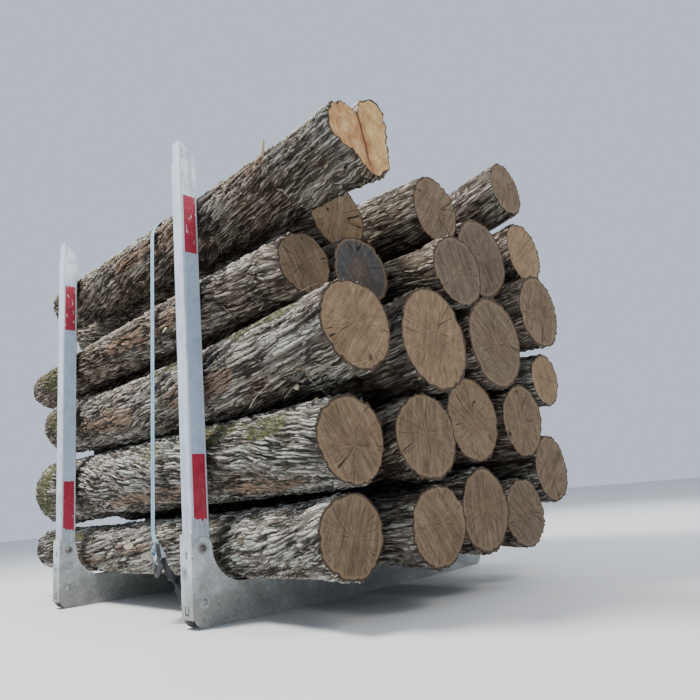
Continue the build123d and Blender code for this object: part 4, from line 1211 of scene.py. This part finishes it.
def ribbon_mesh(name, centres, outwards, finish, thickness=0.0026, closed=False):
    """A strap along a line of centres, its flat side turned outwards."""
    centres, outwards = np.array(centres), np.array(outwards)
    if closed:
        tangents = np.roll(centres, -1, 0) - np.roll(centres, 1, 0)
    else:
        tangents = np.gradient(centres, axis=0)
    tangents /= np.linalg.norm(tangents, axis=1)[:, None]
    outwards = outwards - tangents * (outwards * tangents).sum(1)[:, None]
    outwards /= np.linalg.norm(outwards, axis=1)[:, None]
    sideways = np.cross(outwards, tangents)
    profile = np.array(RIBBON_PROFILE)
    rings = (centres[:, None] + sideways[:, None] * profile[None, :, :1] * STRAP_WIDTH / 2
             + outwards[:, None] * profile[None, :, 1:] * thickness / 2)
    count, width = len(centres), len(profile)
    travelled = lengths_along(centres)
    weave = np.stack([np.broadcast_to(travelled[:, None], (count, width)),
                      np.broadcast_to(profile[None, :, 0] * STRAP_WIDTH / 2, (count, width)),
                      np.broadcast_to(profile[None, :, 1] * 0.01, (count, width))], axis=2)
    faces = []
    for i in range(count if closed else count - 1):
        following = (i + 1) % count
        for j in range(width):
            k = (j + 1) % width
            faces.append((i * width + j, i * width + k, following * width + k, following * width + j))
    if not closed:
        faces.append(tuple(range(width))[::-1])
        faces.append(tuple((count - 1) * width + j for j in range(width)))
    mesh = plain_mesh(name, rings.reshape(-1, 3), faces, finish)
    set_values(mesh, "weave_place", weave.reshape(-1, 3))
    mesh.shade_smooth()
    turn_outwards(mesh)
    return mesh


def turn_outwards(mesh):
    """Makes the faces of a closed mesh point outwards."""
    shape = bmesh.new()
    shape.from_mesh(mesh)
    bmesh.ops.recalc_face_normals(shape, faces=shape.faces)
    shape.to_mesh(mesh)
    shape.free()


def lashing_frame(side):
    """Corner, run and outward direction of the lashing's slanting stretch, and its reach to the eye."""
    x, y, z = LASHING_CORNER
    corner = np.array([x, side * y, z])
    centre = np.array([EYE_CENTRE[0], side * EYE_CENTRE[1], EYE_CENTRE[2]])
    towards = np.array([corner[0] - centre[0], 0.0, corner[2] - centre[2]])
    pull = centre + towards / np.linalg.norm(towards) * EYE_RADIUS
    along = pull - corner
    reach = np.linalg.norm(along)
    along /= reach
    outward = np.array([0.0, side, 0.0])
    outward -= along * (outward @ along)
    outward /= np.linalg.norm(outward)
    return corner, along, outward, reach


def load_route():
    """The strap's middle line over the load, from the near corner to the far one: hull of its section."""
    places = sorted({(round(v.co.y, 5), round(v.co.z, 5)) for v in NODES["strap"].data.vertices
                     if abs(v.co.x - STRAP_X - STRAP_WIDTH / 2) < 1e-4 and v.co.z > LASHING_CORNER[2] + 0.03})
    upper = []
    for place in places:
        while len(upper) > 1 and ((upper[-1][0] - upper[-2][0]) * (place[1] - upper[-2][1])
                                  - (upper[-1][1] - upper[-2][1]) * (place[0] - upper[-2][0])) >= 0:
            upper.pop()
        upper.append(place)
    middle = np.mean(places, axis=0)
    route = []
    for y, z in upper:
        way = np.array([y, z]) - middle
        inner = np.array([y, z]) - way / np.linalg.norm(way) * WEBBING_SEAT
        route.append((STRAP_X, inner[0], inner[1]))
    return route


def lengths_along(places):
    """How far along a line each of its places is."""
    return np.append(0, np.cumsum(np.linalg.norm(np.diff(places, axis=0), axis=1)))


def spaced(places, step):
    """Even places along straight runs."""
    places = np.array(places)
    lengths = lengths_along(places)
    wanted = np.linspace(0, lengths[-1], max(2, int(lengths[-1] / step)))
    return np.stack([np.interp(wanted, lengths, places[:, i]) for i in range(3)], axis=1)


def softened(places, rounds):
    """Rounds a line's corners by averaging neighbours; its ends stay."""
    for _ in range(rounds):
        places[1:-1] = (places[:-2] + 2 * places[1:-1] + places[2:]) / 4
    return places


def build_strap(finish):
    """The strap from its spool over the load to the far hook."""
    near_corner, near_along, near_out, _ = lashing_frame(-1)
    far_corner, far_along, far_out, far_reach = lashing_frame(1)
    near_bend, far_bend = near_corner + near_out * WEBBING_HALF, far_corner + far_out * WEBBING_HALF
    bar = far_reach - HOOK_LENGTH
    line = [near_bend + near_along * SPOOL_AT[0], near_bend, *load_route(),
            far_bend, far_bend + far_along * (bar - SEAM_START)]
    line = softened(spaced(line, STRAP_STEP), STRAP_ROUNDING)
    middle = np.array([STRAP_X, 0.0, 1.0])
    outward = line - middle
    outward[:, 0] = 0.0
    low = line[:, 2] < LASHING_CORNER[2] + 0.05
    outward[low & (line[:, 1] < 0)] = near_out
    outward[low & (line[:, 1] > 0)] = far_out
    wound, wound_out = [], []
    radius = SPOOL_AT[1] - WEBBING_HALF
    for turn in np.radians(np.arange(330, 0, -12)):
        way = near_along * math.sin(turn) - near_out * math.cos(turn)
        wound.append(near_corner + near_along * SPOOL_AT[0] + near_out * SPOOL_AT[1] + way * radius)
        wound_out.append(-way)
    loop, loop_out = loop_round(far_corner, far_along, far_out, bar)
    outward = np.concatenate([wound_out, softened(outward, OUTWARD_ROUNDING), loop_out])
    mesh = ribbon_mesh("strap_webbing", np.concatenate([wound, line, loop]), outward, finish)
    return add_piece("strap_webbing", mesh, "strap_webbing", "strap")


def loop_round(corner, along, outward, bar):
    """The strap's end turned round the hook's bar and laid back on itself."""
    radius = BAR_RADIUS + WEBBING_SEAT
    places, outs = [], []
    base = corner + along * bar + outward * ANCHOR_AT[1]
    for turn in np.radians(np.arange(0, 181, 15)):
        way = along * math.sin(turn) - outward * math.cos(turn)
        places.append(base + way * radius)
        outs.append(-way)
    for back, height in LAID_BACK:
        places.append(corner + along * (bar - back) + outward * height)
        outs.append(-outward)
    return places, outs


def build_end_strap(finish):
    """Short doubled strap between the ratchet's bar and the near hook, with a half twist."""
    corner, along, outward, reach = lashing_frame(-1)
    start, end = ANCHOR_AT[0], reach - HOOK_LENGTH
    radius = BAR_RADIUS + WEBBING_SEAT
    sideways = np.cross(outward, along)
    places, outs = [], []
    for side in (1, -1):
        shares = np.linspace(0.0, 1.0, 56)
        for share in (shares if side > 0 else shares[::-1]):
            swell = np.clip(1 - np.minimum(share, 1 - share) / 0.14, 0, 1) ** 1.5
            height = side * (WEBBING_HALF + (radius - WEBBING_HALF) * swell)
            twist = math.pi * np.clip((share - 0.3) / 0.4, 0, 1)
            twist = twist - 0.5 * math.sin(2 * twist) * 0.5
            normal = outward * math.cos(twist) + sideways * math.sin(twist)
            axis = corner + along * (start + (end - start) * share) + outward * ANCHOR_AT[1]
            places.append(axis + normal * height)
            outs.append(normal * side)
        far = end if side > 0 else start
        flip = math.pi if side > 0 else 0.0
        for turn in np.radians((30, 60, 90, 120, 150)):
            normal = outward * math.cos(flip) * side
            way = along * math.sin(turn) * side + normal * math.cos(turn)
            places.append(corner + along * far + outward * ANCHOR_AT[1] + way * radius)
            outs.append(way)
    mesh = ribbon_mesh("end_webbing", places, outs, finish, 0.0028, closed=True)
    return add_piece("end_webbing", mesh, "end_webbing", "end_strap")


def build_wheels(finish):
    """Toothed wheels on the spool, inside the ratchet's side plates."""
    corner, along, outward, _ = lashing_frame(-1)
    across = np.cross(outward, along)
    centre = corner + along * SPOOL_AT[0] + outward * SPOOL_AT[1]
    places, faces = [], []
    for side in (-1, 1):
        start = len(places)
        for layer in (WHEEL_PLACE - WHEEL_THICK / 2, WHEEL_PLACE + WHEEL_THICK / 2):
            for tooth in range(WHEEL_TEETH):
                for part, radius in WHEEL_CORNERS:
                    turn = (tooth + part) * TURN / WHEEL_TEETH
                    places.append(centre + across * side * layer
                                  + radius * (along * math.cos(turn) + outward * math.sin(turn)))
        count = 4 * WHEEL_TEETH
        faces.append(tuple(range(start, start + count)))
        faces.append(tuple(range(start + count, start + 2 * count)))
        faces += [(start + i, start + (i + 1) % count, start + count + (i + 1) % count, start + count + i)
                  for i in range(count)]
    mesh = plain_mesh("ratchet_wheels", places, faces, finish)
    turn_outwards(mesh)
    wheels = add_piece("ratchet_wheels", mesh, "lashing_steel")
    edge = wheels.modifiers.new("edge", "BEVEL")
    edge.width = 0.0003
    edge.segments = 1


def build_webbing():
    blues = [(0.3, (0.16, 0.32, 0.46)), (0.5, (0.27, 0.46, 0.60)), (0.7, (0.42, 0.60, 0.72))]
    blacks = [(0.3, (0.006, 0.006, 0.007)), (0.7, (0.022, 0.022, 0.025))]
    blue = webbing_finish("strap_webbing", blues, (0.62, 0.72, 0.78), 0.8)
    black = webbing_finish("end_webbing", blacks, (0.030, 0.030, 0.033), 0.9)
    build_strap(blue)
    build_end_strap(black)


# Floor, light and camera

def build_stage():
    bpy.ops.mesh.primitive_plane_add(size=60, location=(0, 0, 0))
    floor = bpy.context.object
    floor.name = "floor"
    finish = Finish("floor_finish", roughness=0.85, Base_Color=(0.66, 0.66, 0.655, 1.0))
    floor.data.materials.append(finish.material)
    world = bpy.data.worlds.new("soft sky")
    bpy.context.scene.world = world
    world.use_nodes = True
    background = world.node_tree.nodes["Background"]
    background.inputs["Color"].default_value = (0.70, 0.80, 0.95, 1.0)
    background.inputs["Strength"].default_value = 0.9
    add_light("key", (-1.2, -3.7, 8.2), (0.0, -0.9, 1.2), 1.8, 1350, (1.0, 0.98, 0.94))
    add_light("end", (7.5, 0.5, 6.5), (1.8, -0.6, 1.8), 3.0, 260, (1.0, 0.94, 0.86))
    add_light("back", (0.0, 7.0, 6.0), (0.0, 0.6, 1.4), 5.0, 420, (0.93, 0.96, 1.0))


def add_light(name, place, target, size, power, color):
    data = bpy.data.lights.new(name, "AREA")
    data.size = size
    data.energy = power
    data.color = color
    light = bpy.data.objects.new(name, data)
    light.location = place
    way = Vector(target) - Vector(place)
    light.rotation_euler = way.to_track_quat("-Z", "Y").to_euler()
    bpy.context.scene.collection.objects.link(light)


def camera_axes():
    """The camera's right, up and forward directions."""
    yaw, pitch, roll = CAMERA_YAW, CAMERA_PITCH, CAMERA_ROLL
    level_right = Vector((math.cos(yaw), -math.sin(yaw), 0.0))
    forward = Vector((math.sin(yaw) * math.cos(pitch), math.cos(yaw) * math.cos(pitch), math.sin(pitch)))
    level_up = level_right.cross(forward)
    right = level_right * math.cos(roll) + level_up * math.sin(roll)
    up = level_up * math.cos(roll) - level_right * math.sin(roll)
    return right, up, forward


def build_camera():
    right, up, forward = camera_axes()
    data = bpy.data.cameras.new("camera")
    data.sensor_width = SENSOR_WIDTH
    data.lens = CAMERA_LENS
    camera = bpy.data.objects.new("camera", data)
    turn = Matrix((right, up, -forward)).transposed().to_4x4()
    camera.matrix_world = Matrix.Translation(CAMERA_PLACE) @ turn
    bpy.context.scene.collection.objects.link(camera)
    bpy.context.scene.camera = camera


build_camera()
build_stage()
build_caught(build_logs())
dress_nodes()
build_tapes()
build_webbing()
